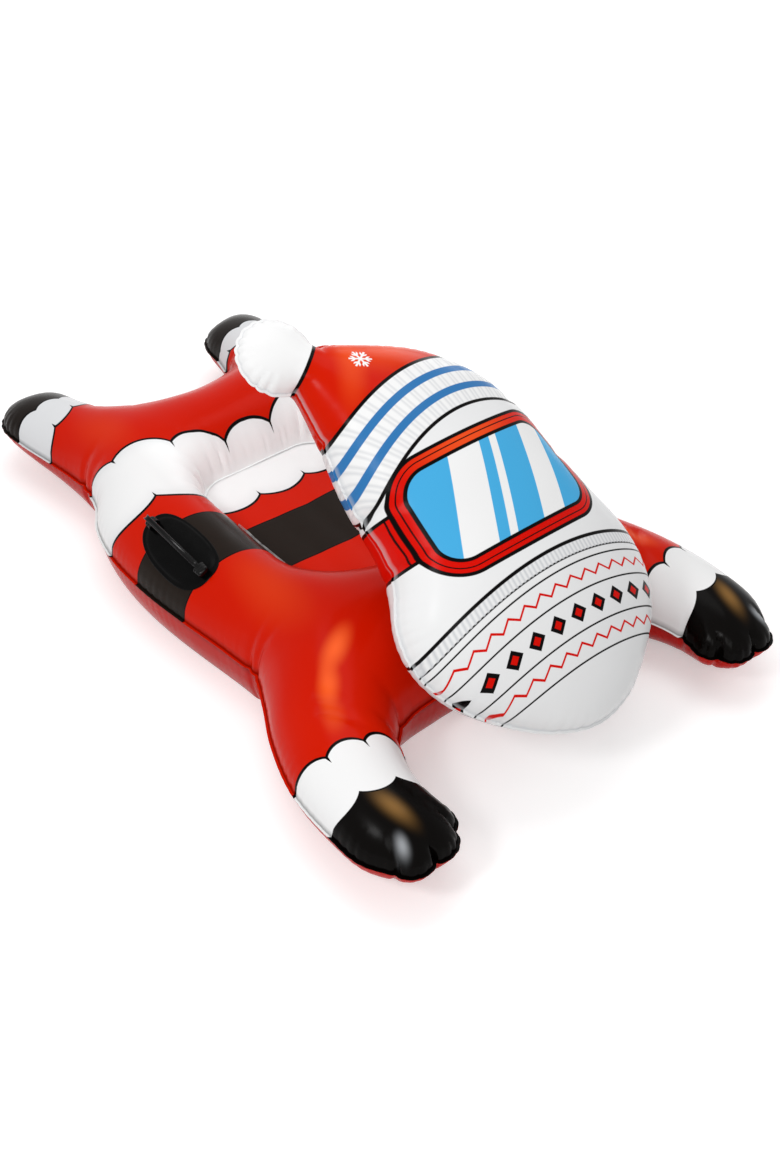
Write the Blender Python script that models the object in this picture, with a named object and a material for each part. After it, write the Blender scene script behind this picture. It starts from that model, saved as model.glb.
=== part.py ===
"""Inflatable snow sled, a winter rider lying prone: welded hull, deck, head pillow, grips and valves.

Metres, +Z up, the ground at z = 0. The rider's head points to -Y and x = 0 is the middle of the sled.
"""
import math

import bpy
import numpy as np
from mathutils import Matrix, Vector
from mathutils.bvhtree import BVHTree
from mathutils.geometry import delaunay_2d_cdt

# Hull
HULL_LENGTH = 1.39
HULL_WIDTH = 0.846
SEAM_HEIGHT = 0.085
HULL_PUFF_SHARE = 0.9
FILM = 0.0006
LIP_WIDTH = 0.005
CLEARANCE = 0.0003

# Deck, set into the hull's ring tube
DECK_LENGTH = 0.425
DECK_WIDTH = 0.298
DECK_HEIGHT = 0.100
DECK_MIDDLE = 0.018
DECK_FRONT_RADIUS = 0.120
DECK_REAR_RADIUS = 0.070
DECK_LIP_WIDTH = 0.006

# Floor webs between the deck and the bottom sheet
WEB_COUNT = 4
WEB_SPACING = 0.068
WEB_LENGTH = 0.290
WEB_FLANGE = 0.020

# Head pillow
HEAD_HALF_WIDTH = 0.224
HEAD_CHIN_REACH = 0.352
HEAD_TILT = math.radians(37)
HEAD_FRONT_PUFF_SHARE = 0.66
HEAD_BACK_PUFF_SHARE = 0.86
HEAD_ADVANCE = 0.087
BOBBLE_RADIUS = 0.058
NECK_DEPTH = 0.1317
NECK_PLACE_SHARE = 0.2417
NECK_SINK = 0.0058
NECK_PATCH_LENGTH = 0.160
NECK_PATCH_WIDTH = 0.055
NECK_PATCH_THICKNESS = 0.001

# Handles on the side tubes
HANDLE_REACH_SHARE = 0.7056
HANDLE_PLACE = 0.033
PAD_LENGTH = 0.182
PAD_WIDTH_SHARE = 0.4192
PAD_ROUNDNESS = 2.5
PAD_THICKNESS = 0.0022
PAD_RIM_SHARE = 0.5
PAD_RING_SHARES = [(1.0, 32), (0.70, 20), (0.34, 10)]
GRIP_SPAN = 0.132
GRIP_RISE = 0.045
GRIP_DIAMETER = 0.009
GRIP_STEPS = 30
GRIP_PIN = 0.010
SOCKET_LENGTH = 0.018
SOCKET_WIDTH = 0.022
SOCKET_HEIGHT = 0.015
SOCKET_AXIS_HEIGHT = 0.008
SOCKET_ROUNDING = 0.003

# Valves
HULL_VALVE_REACH_SHARE = 0.7508
HULL_VALVE_PLACE = -0.290
HEAD_VALVE_SIDE = 0.020
HEAD_VALVE_PLACE = 0.190
VALVE_SEAT_RADIUS = 0.026
VALVE_FLANGE_RADIUS = 0.020
VALVE_FLANGE = 0.0015
VALVE_NECK_RADIUS = 0.0085
VALVE_BORE_RADIUS = 0.00625
VALVE_NECK_HEIGHT = 0.005
VALVE_TUBE_DEPTH = 0.014
PLUG_STEM_DEPTH = 0.004
PLUG_STEM_TAPER = 0.00035
PLUG_CAP = 0.0022
PLUG_STRAP_WIDTH = 0.007
PLUG_STRAP = 0.0014
PLUG_HINGE_REACH = 0.0130
PLUG_HINGE_DROP = 0.002
PLUG_KNUCKLE_RADIUS = 0.0015
PLUG_LUG = 0.003
FLAP_THICKNESS = 0.001

# Mesh density, as shares of the hull's width
SEAM_STEP_SHARE = 0.030
CELL_SHARE = 0.046
INSET_SHARES = (0.007, 0.030)
FLOOR_CELL_SHARE = 0.075
ROUND_SIDES = 24

HALF_LENGTH = HULL_LENGTH / 2
HALF_WIDTH = HULL_WIDTH / 2
SEAM_STEP = HULL_WIDTH * SEAM_STEP_SHARE
CELL = HULL_WIDTH * CELL_SHARE
INSETS = [HULL_WIDTH * share for share in INSET_SHARES]
FLOOR_CELL = HULL_WIDTH * FLOOR_CELL_SHARE

# Right half of the hull's seam, as shares of the half width and half length, from the front middle round
# to the crotch. The mitten's finger lobes are arcs between the two runs.
FRONT_RUN_SHARES = [
    (0.000, -0.628), (0.250, -0.630), (0.440, -0.640), (0.545, -0.676), (0.610, -0.750),
    (0.640, -0.820), (0.640, -0.882)]
FINGER_END_SHARES = [(0.668, -0.947), (0.800, -0.982), (0.930, -0.955)]
FINGER_BULGE_SHARES = [0.22, 0.26, 0.26]
SIDE_RUN_SHARES = [
    (0.930, -0.955), (0.990, -0.888), (1.000, -0.800), (0.985, -0.660), (0.910, -0.520), (0.818, -0.410),
    (0.755, -0.320), (0.762, -0.215), (0.796, -0.055), (0.818, 0.090), (0.812, 0.250), (0.765, 0.370),
    (0.690, 0.455), (0.658, 0.560), (0.680, 0.700), (0.712, 0.830), (0.718, 0.926), (0.672, 0.976),
    (0.605, 0.994), (0.520, 0.979), (0.440, 0.968), (0.390, 0.920), (0.365, 0.830), (0.305, 0.730),
    (0.190, 0.672), (0.000, 0.650)]

# The head's seam: x as shares of its half width, y as shares of its reach down to the chin. The hat leans to
# the left and its bobble is an arc between the two runs.
HEAD_RUN_SHARES = [
    (0.57, 0.58), (0.70, 0.36), (0.75, 0.14), (0.84, -0.09), (0.94, -0.31), (0.93, -0.50), (0.81, -0.67),
    (0.58, -0.82), (0.32, -0.93), (0.00, -0.97), (-0.32, -0.91), (-0.62, -0.78), (-0.88, -0.60),
    (-1.00, -0.40), (-0.96, -0.22), (-0.82, -0.06), (-0.77, 0.10), (-0.79, 0.24), (-0.78, 0.42),
    (-0.74, 0.62), (-0.72, 0.86)]
HAT_RUN_SHARES = [(-0.43, 1.00), (-0.20, 0.945), (0.20, 0.82), (0.40, 0.71), (0.57, 0.58)]
BOBBLE_MIDDLE_SHARES = (-0.725, 1.03)

# The grip's middle line between its pins: along the sled as shares of half its span, up as shares of its rise
GRIP_RUN_SHARES = [
    (-0.93, 0.00), (-0.84, 0.05), (-0.70, 0.18), (-0.50, 0.36), (-0.20, 0.58), (0.20, 0.80), (0.50, 0.93),
    (0.70, 1.00), (0.81, 0.94), (0.85, 0.80), (0.85, 0.50), (0.85, 0.22), (0.875, 0.07), (0.93, 0.00)]

EDGE_KEEP_SHARE = 0.96
SMOOTH_SAMPLES = 12
RUN_STEPS = 5
SOLVER_STEPS = 900
SHARP_ANGLE = math.radians(40)


def material(name, colour, roughness, metallic=0):
    made = bpy.data.materials.new(name)
    made.use_nodes = True
    shader = made.node_tree.nodes["Principled BSDF"]
    shader.inputs["Base Color"].default_value = (*colour, 1)
    shader.inputs["Roughness"].default_value = roughness
    shader.inputs["Metallic"].default_value = metallic
    return made


def add_object(name, mesh, finish, place=None):
    mesh.shade_smooth()
    mesh.set_sharp_from_angle(angle=SHARP_ANGLE)
    mesh.materials.append(finish)
    made = bpy.data.objects.new(name, mesh)
    bpy.context.scene.collection.objects.link(made)
    if place is not None:
        made.matrix_world = place
    return made


def plain_mesh(name, vertices, faces):
    mesh = bpy.data.meshes.new(name)
    mesh.from_pydata([tuple(map(float, vertex)) for vertex in vertices], [], faces)
    return mesh


def add_mesh(name, vertices, faces, finish, place=None):
    return add_object(name, plain_mesh(name, vertices, faces), finish, place)


def add_cutter(name, mesh, place):
    made = bpy.data.objects.new(name, mesh)
    bpy.context.scene.collection.objects.link(made)
    made.matrix_world = place
    made.hide_render = True
    made.display_type = 'WIRE'
    return made


def join_shape(target, tool, operation):
    modifier = target.modifiers.new(tool.name, 'BOOLEAN')
    modifier.operation = operation
    modifier.solver = 'EXACT'
    modifier.object = tool


# Outlines


def smooth_run(points):
    """A smooth curve through the points, sampled closely; it passes the ends straight."""
    points = np.asarray(points, float)
    padded = np.vstack([2 * points[0] - points[1], points, 2 * points[-1] - points[-2]])
    samples = []
    for index in range(len(points) - 1):
        p0, p1, p2, p3 = padded[index:index + 4]
        knots = np.cumsum([0] + [math.sqrt(np.linalg.norm(b - a)) for a, b in ((p0, p1), (p1, p2), (p2, p3))])
        t = np.linspace(knots[1], knots[2], SMOOTH_SAMPLES, endpoint=False)[:, None]
        a1 = ((knots[1] - t) * p0 + t * p1) / knots[1]
        a2 = ((knots[2] - t) * p1 + (t - knots[1]) * p2) / (knots[2] - knots[1])
        a3 = ((knots[3] - t) * p2 + (t - knots[2]) * p3) / (knots[3] - knots[2])
        b1 = ((knots[2] - t) * a1 + t * a2) / knots[2]
        b2 = ((knots[3] - t) * a2 + (t - knots[1]) * a3) / (knots[3] - knots[1])
        samples.append(((knots[2] - t) * b1 + (t - knots[1]) * b2) / (knots[2] - knots[1]))
    samples.append(points[-1:])
    return np.vstack(samples)


def bulged_run(start, end, bulge_share):
    """An arc from start to end that bulges to its right by a share of its chord."""
    start, end = np.asarray(start, float), np.asarray(end, float)
    chord = end - start
    side = np.array([chord[1], -chord[0]])
    half_angle = 2 * math.atan(2 * bulge_share)
    middle = (start + end) / 2 - side / (2 * math.tan(half_angle))
    angles = np.linspace(0, 2 * half_angle, 2 * SMOOTH_SAMPLES)
    first = start - middle
    return np.array([middle + (first[0] * math.cos(a) - first[1] * math.sin(a),
                               first[0] * math.sin(a) + first[1] * math.cos(a)) for a in angles])


def circle_run(middle, radius, start, end):
    """The arc round middle from angle start to angle end."""
    angles = np.linspace(start, end, 4 * SMOOTH_SAMPLES)
    return np.array([(middle[0] + radius * math.cos(a), middle[1] + radius * math.sin(a)) for a in angles])


def stepped(run, count):
    """Points at count even steps along the run, its last point left out."""
    lengths = np.concatenate([[0], np.cumsum(np.linalg.norm(np.diff(run, axis=0), axis=1))])
    stops = np.linspace(0, lengths[-1], count, endpoint=False)
    return np.stack([np.interp(stops, lengths, run[:, axis]) for axis in (0, 1)], axis=1)


def even_loop(runs, step):
    """One closed loop from runs that meet end to start, with points at an even step and each joint kept."""
    loop = []
    for run in runs:
        length = np.linalg.norm(np.diff(run, axis=0), axis=1).sum()
        loop.append(stepped(run, max(RUN_STEPS, round(length / step))))
    return np.vstack(loop)


def mirrored(run):
    return (run * (-1, 1))[::-1]


def hull_outline(step):
    scale = np.array([HALF_WIDTH, HALF_LENGTH])
    front = smooth_run(np.array([(-x, y) for x, y in FRONT_RUN_SHARES[:0:-1]] + FRONT_RUN_SHARES) * scale)
    rear = smooth_run(np.array(SIDE_RUN_SHARES + [(-x, y) for x, y in SIDE_RUN_SHARES[-2::-1]]) * scale)
    corners = np.array(FRONT_RUN_SHARES[-1:] + FINGER_END_SHARES) * scale
    fingers = [bulged_run(a, b, bulge) for a, b, bulge in zip(corners, corners[1:], FINGER_BULGE_SHARES)]
    return even_loop([front] + fingers + [rear] + [mirrored(run) for run in fingers[::-1]], step)


def seam_reach(place):
    """How far out the hull's side seam lies at a place along the sled."""
    side = smooth_run(np.array(SIDE_RUN_SHARES) * (HALF_WIDTH, HALF_LENGTH))
    return side[np.abs(side[:, 1] - place).argmin(), 0]


def pad_seat():
    """The middle of the handle's pad and its width from above, both from the side tube beside it."""
    inner = DECK_WIDTH / 2
    tube = seam_reach(HANDLE_PLACE) - inner
    return inner + tube * HANDLE_REACH_SHARE, tube * PAD_WIDTH_SHARE


def deck_outline(step):
    front = DECK_MIDDLE - DECK_LENGTH / 2
    rear = DECK_MIDDLE + DECK_LENGTH / 2
    side = DECK_WIDTH / 2
    quarter = math.pi / 2
    runs = [
        circle_run((side - DECK_FRONT_RADIUS, front + DECK_FRONT_RADIUS), DECK_FRONT_RADIUS, -quarter, 0),
        circle_run((side - DECK_REAR_RADIUS, rear - DECK_REAR_RADIUS), DECK_REAR_RADIUS, 0, quarter)]
    half = np.vstack(runs)
    return even_loop([np.vstack([half, mirrored(half), half[:1]])], step)


def head_outline(step):
    scale = np.array([HEAD_HALF_WIDTH, HEAD_CHIN_REACH])
    face = smooth_run(np.array(HEAD_RUN_SHARES) * scale)[::-1]
    hat = smooth_run(np.array(HAT_RUN_SHARES) * scale)[::-1]
    middle = np.array(BOBBLE_MIDDLE_SHARES) * scale
    upper, lower = hat[-1] - middle, face[0] - middle
    start = math.atan2(upper[1], upper[0])
    end = math.atan2(lower[1], lower[0])
    bobble = circle_run(middle, BOBBLE_RADIUS, start, end + 2 * math.pi)
    bobble = np.vstack([hat[-1:], bobble, face[:1]])
    return even_loop([face, hat, bobble], step)


# Flat patterns and inflation


def distance_to_loop(points, loop):
    along = np.roll(loop, -1, 0) - loop
    reach = points[:, None] - loop[None]
    share = np.clip((reach * along).sum(2) / (along ** 2).sum(1), 0, 1)
    return np.sqrt(((reach - share[..., None] * along) ** 2).sum(2).min(1))


def is_inside(points, loop):
    ahead = np.roll(loop, -1, 0)
    x, y = points[:, :1], points[:, 1:]
    rise = np.where(ahead[:, 1] == loop[:, 1], 1, ahead[:, 1] - loop[:, 1])
    crossing = loop[:, 0] + (ahead[:, 0] - loop[:, 0]) * (y - loop[:, 1]) / rise
    spans = (loop[:, 1] > y) != (ahead[:, 1] > y)
    return (spans & (x < crossing)).sum(1) % 2 == 1


def offset_loop(loop, distance):
    """The loop moved outwards by distance, inwards where it is negative, without its crossed-over points."""
    along = np.roll(loop, -1, 0) - np.roll(loop, 1, 0)
    normals = np.stack([along[:, 1], -along[:, 0]], axis=1) / np.linalg.norm(along, axis=1)[:, None]
    moved = loop + normals * distance
    return moved[distance_to_loop(moved, loop) > abs(distance) * EDGE_KEEP_SHARE]


def thinned(groups):
    """The points of all groups, each left out if it is nearer than its group's gap to one kept before it."""
    cell = max(gap for _, gap in groups)
    around = [(i, j) for i in (-1, 0, 1) for j in (-1, 0, 1)]
    kept, cells = [], {}
    for points, gap in groups:
        for point in points:
            column, row = int(point[0] // cell), int(point[1] // cell)
            near = (kept[k] for i, j in around for k in cells.get((column + i, row + j), ()))
            if gap and any(math.dist(point, other) < gap for other in near):
                continue
            cells.setdefault((column, row), []).append(len(kept))
            kept.append(point)
    return np.array(kept)


def flat_pattern(rims, welds, extra, insets, cell):
    """Triangles over a film cut along the rims. Returns its points, the triangles and which are welded."""
    grid_rows = []
    low, high = rims[0].min(0), rims[0].max(0)
    row_step = cell * math.sqrt(3) / 2
    for row in range(int((high[1] - low[1]) / row_step) + 1):
        count = int((high[0] - low[0]) / cell) + 1
        shift = cell / 2 * (row % 2)
        across = (np.arange(count) - count / 2) * cell + shift + (low[0] + high[0]) / 2
        grid_rows.append(np.stack([across, np.full(count, low[1] + row * row_step)], axis=1))
    grid = np.vstack(grid_rows)

    def between_welds(points, margin):
        nearest = np.min([distance_to_loop(points, weld) for weld in welds], axis=0)
        kept = (nearest > margin) & is_inside(points, welds[0])
        for weld in welds[1:]:
            kept &= ~is_inside(points, weld)
        return points[kept]

    groups = [(np.vstack(rims + welds), 0), (extra, 0)]
    for inset in insets:
        rows = [offset_loop(welds[0], -inset)] + [offset_loop(weld, inset) for weld in welds[1:]]
        gap = min(cell, max(inset, SEAM_STEP)) / 2
        groups.append((between_welds(np.vstack(rows), inset * EDGE_KEEP_SHARE), gap))
    groups.append((between_welds(grid, insets[-1] + cell / 3), cell * 2 / 3))
    points = thinned(groups)
    edges, start = [], 0
    for loop in rims + welds:
        edges += [(start + i, start + (i + 1) % len(loop)) for i in range(len(loop))]
        start += len(loop)
    found = delaunay_2d_cdt([Vector(point) for point in points], edges, [], 0, CLEARANCE / 100)
    plan = np.array([tuple(point) for point in found[0]])
    triangles = np.array([face for face in found[2] if len(face) == 3])
    fixed = np.array([any(source < start for source in sources) for sources in found[3]])
    centres = plan[triangles].mean(1)
    wanted = is_inside(centres, rims[0])
    for rim in rims[1:]:
        wanted &= ~is_inside(centres, rim)
    return plan, triangles[wanted], fixed


def inflated(plan, triangles, fixed, held_rise):
    """Height of the film over its seam plane: a membrane under even pressure, which makes tubes round.

    held_rise is the height of each welded point, spread evenly over the film between the welds.
    """
    corners = plan[triangles]
    area = np.abs(np.cross(corners[:, 1] - corners[:, 0], corners[:, 2] - corners[:, 0])) / 2
    first, second, weight = [], [], []
    for k in range(3):
        a, b = corners[:, (k + 1) % 3] - corners[:, k], corners[:, (k + 2) % 3] - corners[:, k]
        first.append(triangles[:, (k + 1) % 3])
        second.append(triangles[:, (k + 2) % 3])
        weight.append((a * b).sum(1) / (4 * area))
    first, second, weight = np.concatenate(first), np.concatenate(second), np.concatenate(weight)
    count = len(plan)
    diagonal = np.bincount(first, weight, count) + np.bincount(second, weight, count)
    diagonal = np.where(diagonal > 0, diagonal, 1)
    load = np.bincount(triangles.ravel(), np.repeat(area / 3, 3), count)
    free = ~fixed

    def stiffness(values):
        return diagonal * values - np.bincount(first, weight * values[second], count) \
            - np.bincount(second, weight * values[first], count)

    def solved(target, held):
        values = np.where(fixed, held, 0.0)
        rest = np.where(free, target - stiffness(values), 0)
        step = rest / diagonal
        size = rest @ step
        limit = size * 1e-16
        for _ in range(SOLVER_STEPS):
            if size <= limit:
                break
            pushed = np.where(free, stiffness(step), 0)
            amount = size / (step @ pushed)
            values = values + amount * step
            rest = rest - amount * pushed
            scaled = rest / diagonal
            new_size = rest @ scaled
            step = scaled + step * new_size / size
            size = new_size
        return values

    pressure = solved(load, np.zeros(count))
    rise = solved(np.zeros(count), held_rise) if np.any(held_rise) else np.zeros(count)
    return np.sqrt(2 * np.maximum(pressure, 0)), rise


def film_shell(points, triangles, start=0, thickness=FILM):
    """A film's solid, between the given surface moved out by start and that surface moved out further."""
    corners = points[triangles]
    facing = np.cross(corners[:, 1] - corners[:, 0], corners[:, 2] - corners[:, 0])
    normals = np.zeros_like(points)
    for k in range(3):
        np.add.at(normals, triangles[:, k], facing)
    normals /= np.linalg.norm(normals, axis=1)[:, None]
    count = len(points)
    points = points + normals * start
    vertices = np.vstack([points, points + normals * np.reshape(thickness, (-1, 1))])
    faces = [tuple(int(v) + count for v in triangle) for triangle in triangles]
    faces += [tuple(int(v) for v in triangle[::-1]) for triangle in triangles]
    edges = {(int(t[k]), int(t[(k + 1) % 3])) for t in triangles for k in range(3)}
    for a, b in sorted(edges):
        if (b, a) not in edges:
            faces.append((b + count, a + count, a, b))
    return vertices, faces


def flat_plate(outline, low, high):
    """A plate over the outline, which runs counter-clockwise, from level low to level high."""
    count = len(outline)
    vertices = np.vstack([np.column_stack([outline, np.full(count, level)]) for level in (low, high)])
    faces = [tuple(range(count))[::-1], tuple(range(count, 2 * count))]
    faces += [(i, (i + 1) % count, (i + 1) % count + count, i + count) for i in range(count)]
    return vertices, faces


def used_only(plan, triangles, *values):
    """Drops the points that no triangle uses."""
    used = np.unique(triangles)
    renumber = np.zeros(len(plan), int)
    renumber[used] = np.arange(len(used))
    return (plan[used], renumber[triangles]) + tuple(value[used] for value in values)


def seat_ring(middle):
    """Points round a valve's flat seat in a film's pattern."""
    count = ROUND_SIDES // 2
    ring = [(middle[0] + VALVE_SEAT_RADIUS * math.cos(2 * math.pi * k / count),
             middle[1] + VALVE_SEAT_RADIUS * math.sin(2 * math.pi * k / count)) for k in range(count)]
    return np.array(ring + [middle])


def pad_share(plan, side):
    """How far out on the handle's oval pad each plan point lies: 1 on its edge."""
    reach, width = pad_seat()
    across = np.abs(plan[:, 0] - side * reach) * 2 / width
    along = np.abs(plan[:, 1] - HANDLE_PLACE) * 2 / PAD_LENGTH
    return (across ** PAD_ROUNDNESS + along ** PAD_ROUNDNESS) ** (1 / PAD_ROUNDNESS)


def pad_rings(side):
    """Points of a film's pattern under a handle's oval pad."""
    reach, width = pad_seat()
    middle = np.array([side * reach, HANDLE_PLACE])
    half = np.array([width, PAD_LENGTH]) / 2
    rings = [middle[None]]
    for share, count in PAD_RING_SHARES:
        angles = np.arange(count) * 2 * math.pi / count
        round_ring = np.stack([np.cos(angles), np.sin(angles)], axis=1)
        oval = np.sign(round_ring) * np.abs(round_ring) ** (2 / PAD_ROUNDNESS)
        rings.append(middle + half * share * oval)
    return np.vstack(rings)


def seated(plan, heights, middle):
    """Flattens a film round a valve, at the height it has there."""
    near = np.linalg.norm(plan - middle, axis=1) < VALVE_SEAT_RADIUS + CLEARANCE
    level = heights[near].mean()
    return np.where(near, level, heights), level


# Pieces of film


def build_hull_films():
    """The hull's sheets, the deck and the handles. Returns the top sheet, its valve seat and the neck."""
    seam = hull_outline(SEAM_STEP)
    deck = deck_outline(SEAM_STEP)
    lip = offset_loop(seam, LIP_WIDTH)
    deck_lip = offset_loop(deck, -DECK_LIP_WIDTH)
    valve = np.array([seam_reach(HULL_VALVE_PLACE) * HULL_VALVE_REACH_SHARE, HULL_VALVE_PLACE])

    seats = np.vstack([seat_ring(valve), pad_rings(-1), pad_rings(1)])
    plan, triangles, fixed = flat_pattern([lip, deck_lip], [seam, deck], seats, INSETS, CELL)
    at_deck = fixed & (distance_to_loop(plan, deck) < DECK_LIP_WIDTH + CLEARANCE)
    plan, triangles, fixed, at_deck = used_only(plan, triangles, fixed, at_deck)
    puff, rise = inflated(plan, triangles, fixed, np.where(at_deck, DECK_HEIGHT - SEAM_HEIGHT, 0))
    heights = SEAM_HEIGHT + CLEARANCE / 2 + rise + puff * HULL_PUFF_SHARE
    heights, level = seated(plan, heights, valve)
    points = np.column_stack([plan, heights])

    normal = np.array([0, -math.sin(HEAD_TILT), math.cos(HEAD_TILT)])
    front = FRONT_RUN_SHARES[0][1] * HALF_LENGTH
    neck_place = front + (DECK_MIDDLE - DECK_LENGTH / 2 - front) * NECK_PLACE_SHARE
    tree = BVHTree.FromPolygons([Vector(point) for point in points], triangles.tolist())
    crown = tree.ray_cast(Vector((0, neck_place, HULL_LENGTH)), Vector((0, 0, -1)))[0]
    neck_level = crown.dot(Vector(normal)) - NECK_SINK
    at_neck = (np.abs(plan[:, 0]) < NECK_PATCH_LENGTH * 3 / 4) & (plan[:, 1] < DECK_MIDDLE)
    over = np.where(at_neck, np.maximum(points @ normal - neck_level, 0), 0)
    points = points - over[:, None] * normal
    neck = Vector((0, neck_place, (neck_level + FILM - normal[1] * neck_place) / normal[2]))

    red = material("red_film", (0.62, 0.014, 0.004), 0.28)
    top = add_mesh("hull_top_sheet", *film_shell(points, triangles), red)
    for side, label in ((-1, "right"), (1, "left")):
        build_handle(points, triangles, side, label)

    plan, triangles, fixed = flat_pattern([lip], [seam], np.zeros((0, 2)), INSETS, FLOOR_CELL)
    plan, triangles, fixed = used_only(plan, triangles, fixed)
    puff, _ = inflated(plan, triangles, fixed, np.zeros(len(plan)))
    heights = np.maximum(SEAM_HEIGHT - CLEARANCE / 2 - puff * HULL_PUFF_SHARE, FILM)
    points = np.column_stack([plan, heights])
    add_mesh("hull_bottom_sheet", *film_shell(points, triangles[:, ::-1]), red)

    deck_top = DECK_HEIGHT - CLEARANCE / 2
    deck_film = material("deck_film", (0.60, 0.020, 0.006), 0.34)
    add_mesh("deck_panel", *flat_plate(deck, deck_top - FILM, deck_top), deck_film)
    return top, Vector((*valve, level + FILM)), neck


def build_floor_webs():
    """I-shaped webs that tie the deck to the bottom sheet, welded along their flanges."""
    low = FILM + CLEARANCE
    high = DECK_HEIGHT - CLEARANCE / 2 - FILM - CLEARANCE
    wide, thin = WEB_FLANGE / 2, FILM / 2
    profile = [(-wide, low), (wide, low), (wide, low + FILM), (thin, low + FILM), (thin, high - FILM),
               (wide, high - FILM), (wide, high), (-wide, high), (-wide, high - FILM), (-thin, high - FILM),
               (-thin, low + FILM), (-wide, low + FILM)]
    count = len(profile)
    finish = material("web_film", (0.75, 0.75, 0.73), 0.4)
    for index in range(WEB_COUNT):
        across = (index - (WEB_COUNT - 1) / 2) * WEB_SPACING
        place = Matrix.Translation((across, DECK_MIDDLE, 0))
        vertices = [(x, y, z) for y in (-WEB_LENGTH / 2, WEB_LENGTH / 2) for x, z in profile]
        faces = [tuple(range(count)), tuple(range(count, 2 * count))[::-1]]
        faces += [((i + 1) % count, i, i + count, (i + 1) % count + count) for i in range(count)]
        add_mesh(f"floor_web_{index + 1}", vertices, faces, finish, place)


def build_head(neck):
    """The head pillow's two sheets and the weld patch under it. Returns its frame and the valve's depth."""
    tilt = Matrix.Rotation(HEAD_TILT, 4, 'X')
    drop = NECK_DEPTH + FILM + CLEARANCE + NECK_PATCH_THICKNESS + CLEARANCE
    frame = Matrix.Translation(neck) @ tilt @ Matrix.Translation((0, HEAD_ADVANCE, drop))
    seam = head_outline(SEAM_STEP)
    lip = offset_loop(seam, LIP_WIDTH)
    valve = np.array([HEAD_VALVE_SIDE, HEAD_VALVE_PLACE])
    plan, triangles, fixed = flat_pattern([lip], [seam], seat_ring(valve), INSETS, CELL)
    plan, triangles, fixed = used_only(plan, triangles, fixed)
    puff, _ = inflated(plan, triangles, fixed, np.zeros(len(plan)))
    white = material("head_film", (0.86, 0.86, 0.85), 0.25)

    front = np.column_stack([plan, CLEARANCE / 2 + puff * HEAD_FRONT_PUFF_SHARE])
    add_mesh("head_front_sheet", *film_shell(front, triangles), white, frame)

    depth = np.minimum(CLEARANCE / 2 + puff * HEAD_BACK_PUFF_SHARE, NECK_DEPTH)
    depth, level = seated(plan, depth, valve)
    back = np.column_stack([plan, -depth])
    sheet = add_mesh("head_back_sheet", *film_shell(back, triangles[:, ::-1]), white, frame)

    angles = np.arange(2 * ROUND_SIDES) * math.pi / ROUND_SIDES
    ring = np.stack([np.cos(angles) * NECK_PATCH_LENGTH, np.sin(angles) * NECK_PATCH_WIDTH], axis=1) / 2
    place = Matrix.Translation(neck) @ tilt @ Matrix.Translation((0, 0, CLEARANCE))
    patch_film = material("patch_film", (0.70, 0.70, 0.68), 0.35)
    add_mesh("neck_patch", *flat_plate(ring, 0, NECK_PATCH_THICKNESS), patch_film, place)
    seat = frame @ Matrix.Translation((*valve, -level - FILM)) @ Matrix.Rotation(math.pi, 4, 'X')
    return sheet, seat


# Turned and plain pieces


def turned(profile, sides):
    """A closed profile of (radius, height), which runs counter-clockwise, turned about Z."""
    vertices = []
    for k in range(sides):
        angle = 2 * math.pi * k / sides
        vertices += [(r * math.cos(angle), r * math.sin(angle), z) for r, z in profile]
    count = len(profile)
    faces = []
    for k in range(sides):
        here, there = k * count, (k + 1) % sides * count
        for i in range(count):
            j = (i + 1) % count
            faces.append((here + i, there + i, there + j, here + j))
    return vertices, faces


def solid_turned(profile, sides):
    """A turned solid whose profile of (radius, height) starts and ends on the axis."""
    outer = profile[1:-1]
    vertices = [(0, 0, profile[0][1]), (0, 0, profile[-1][1])]
    for k in range(sides):
        angle = 2 * math.pi * k / sides
        vertices += [(r * math.cos(angle), r * math.sin(angle), z) for r, z in outer]
    count = len(outer)
    faces = []
    for k in range(sides):
        here, there = 2 + k * count, 2 + (k + 1) % sides * count
        faces.append((0, there, here))
        faces.append((1, here + count - 1, there + count - 1))
        for i in range(count - 1):
            faces.append((here + i, there + i, there + i + 1, here + i + 1))
    return vertices, faces


def box_mesh(name, low, high):
    vertices = [(x, y, z) for z in (low[2], high[2]) for y in (low[1], high[1]) for x in (low[0], high[0])]
    faces = [(0, 2, 3, 1), (4, 5, 7, 6), (0, 1, 5, 4), (2, 6, 7, 3), (0, 4, 6, 2), (1, 3, 7, 5)]
    return plain_mesh(name, vertices, faces)


def disc_mesh(name, radius, half_height):
    profile = [(0, -half_height), (radius, -half_height), (radius, half_height), (0, half_height)]
    return plain_mesh(name, *solid_turned(profile, ROUND_SIDES))


def along_y(end):
    """Turns +Z to +Y or -Y."""
    return Matrix.Rotation(-end * math.pi / 2, 4, 'X')


# Handles


def handle_frame(points):
    """A frame at the handle's middle: Z is the film's outward normal, Y runs along the sled."""
    terms = np.column_stack([np.ones(len(points)), points[:, :2] - points[:1, :2]])
    level, slope_x, slope_y = np.linalg.lstsq(terms, points[:, 2], rcond=None)[0]
    out = Vector((-slope_x, -slope_y, 1)).normalized()
    along = Vector((0, 1, slope_y)).normalized()
    frame = Matrix((along.cross(out), along, out)).transposed().to_4x4()
    frame.translation = (*points[0, :2], level)
    return frame


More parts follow.
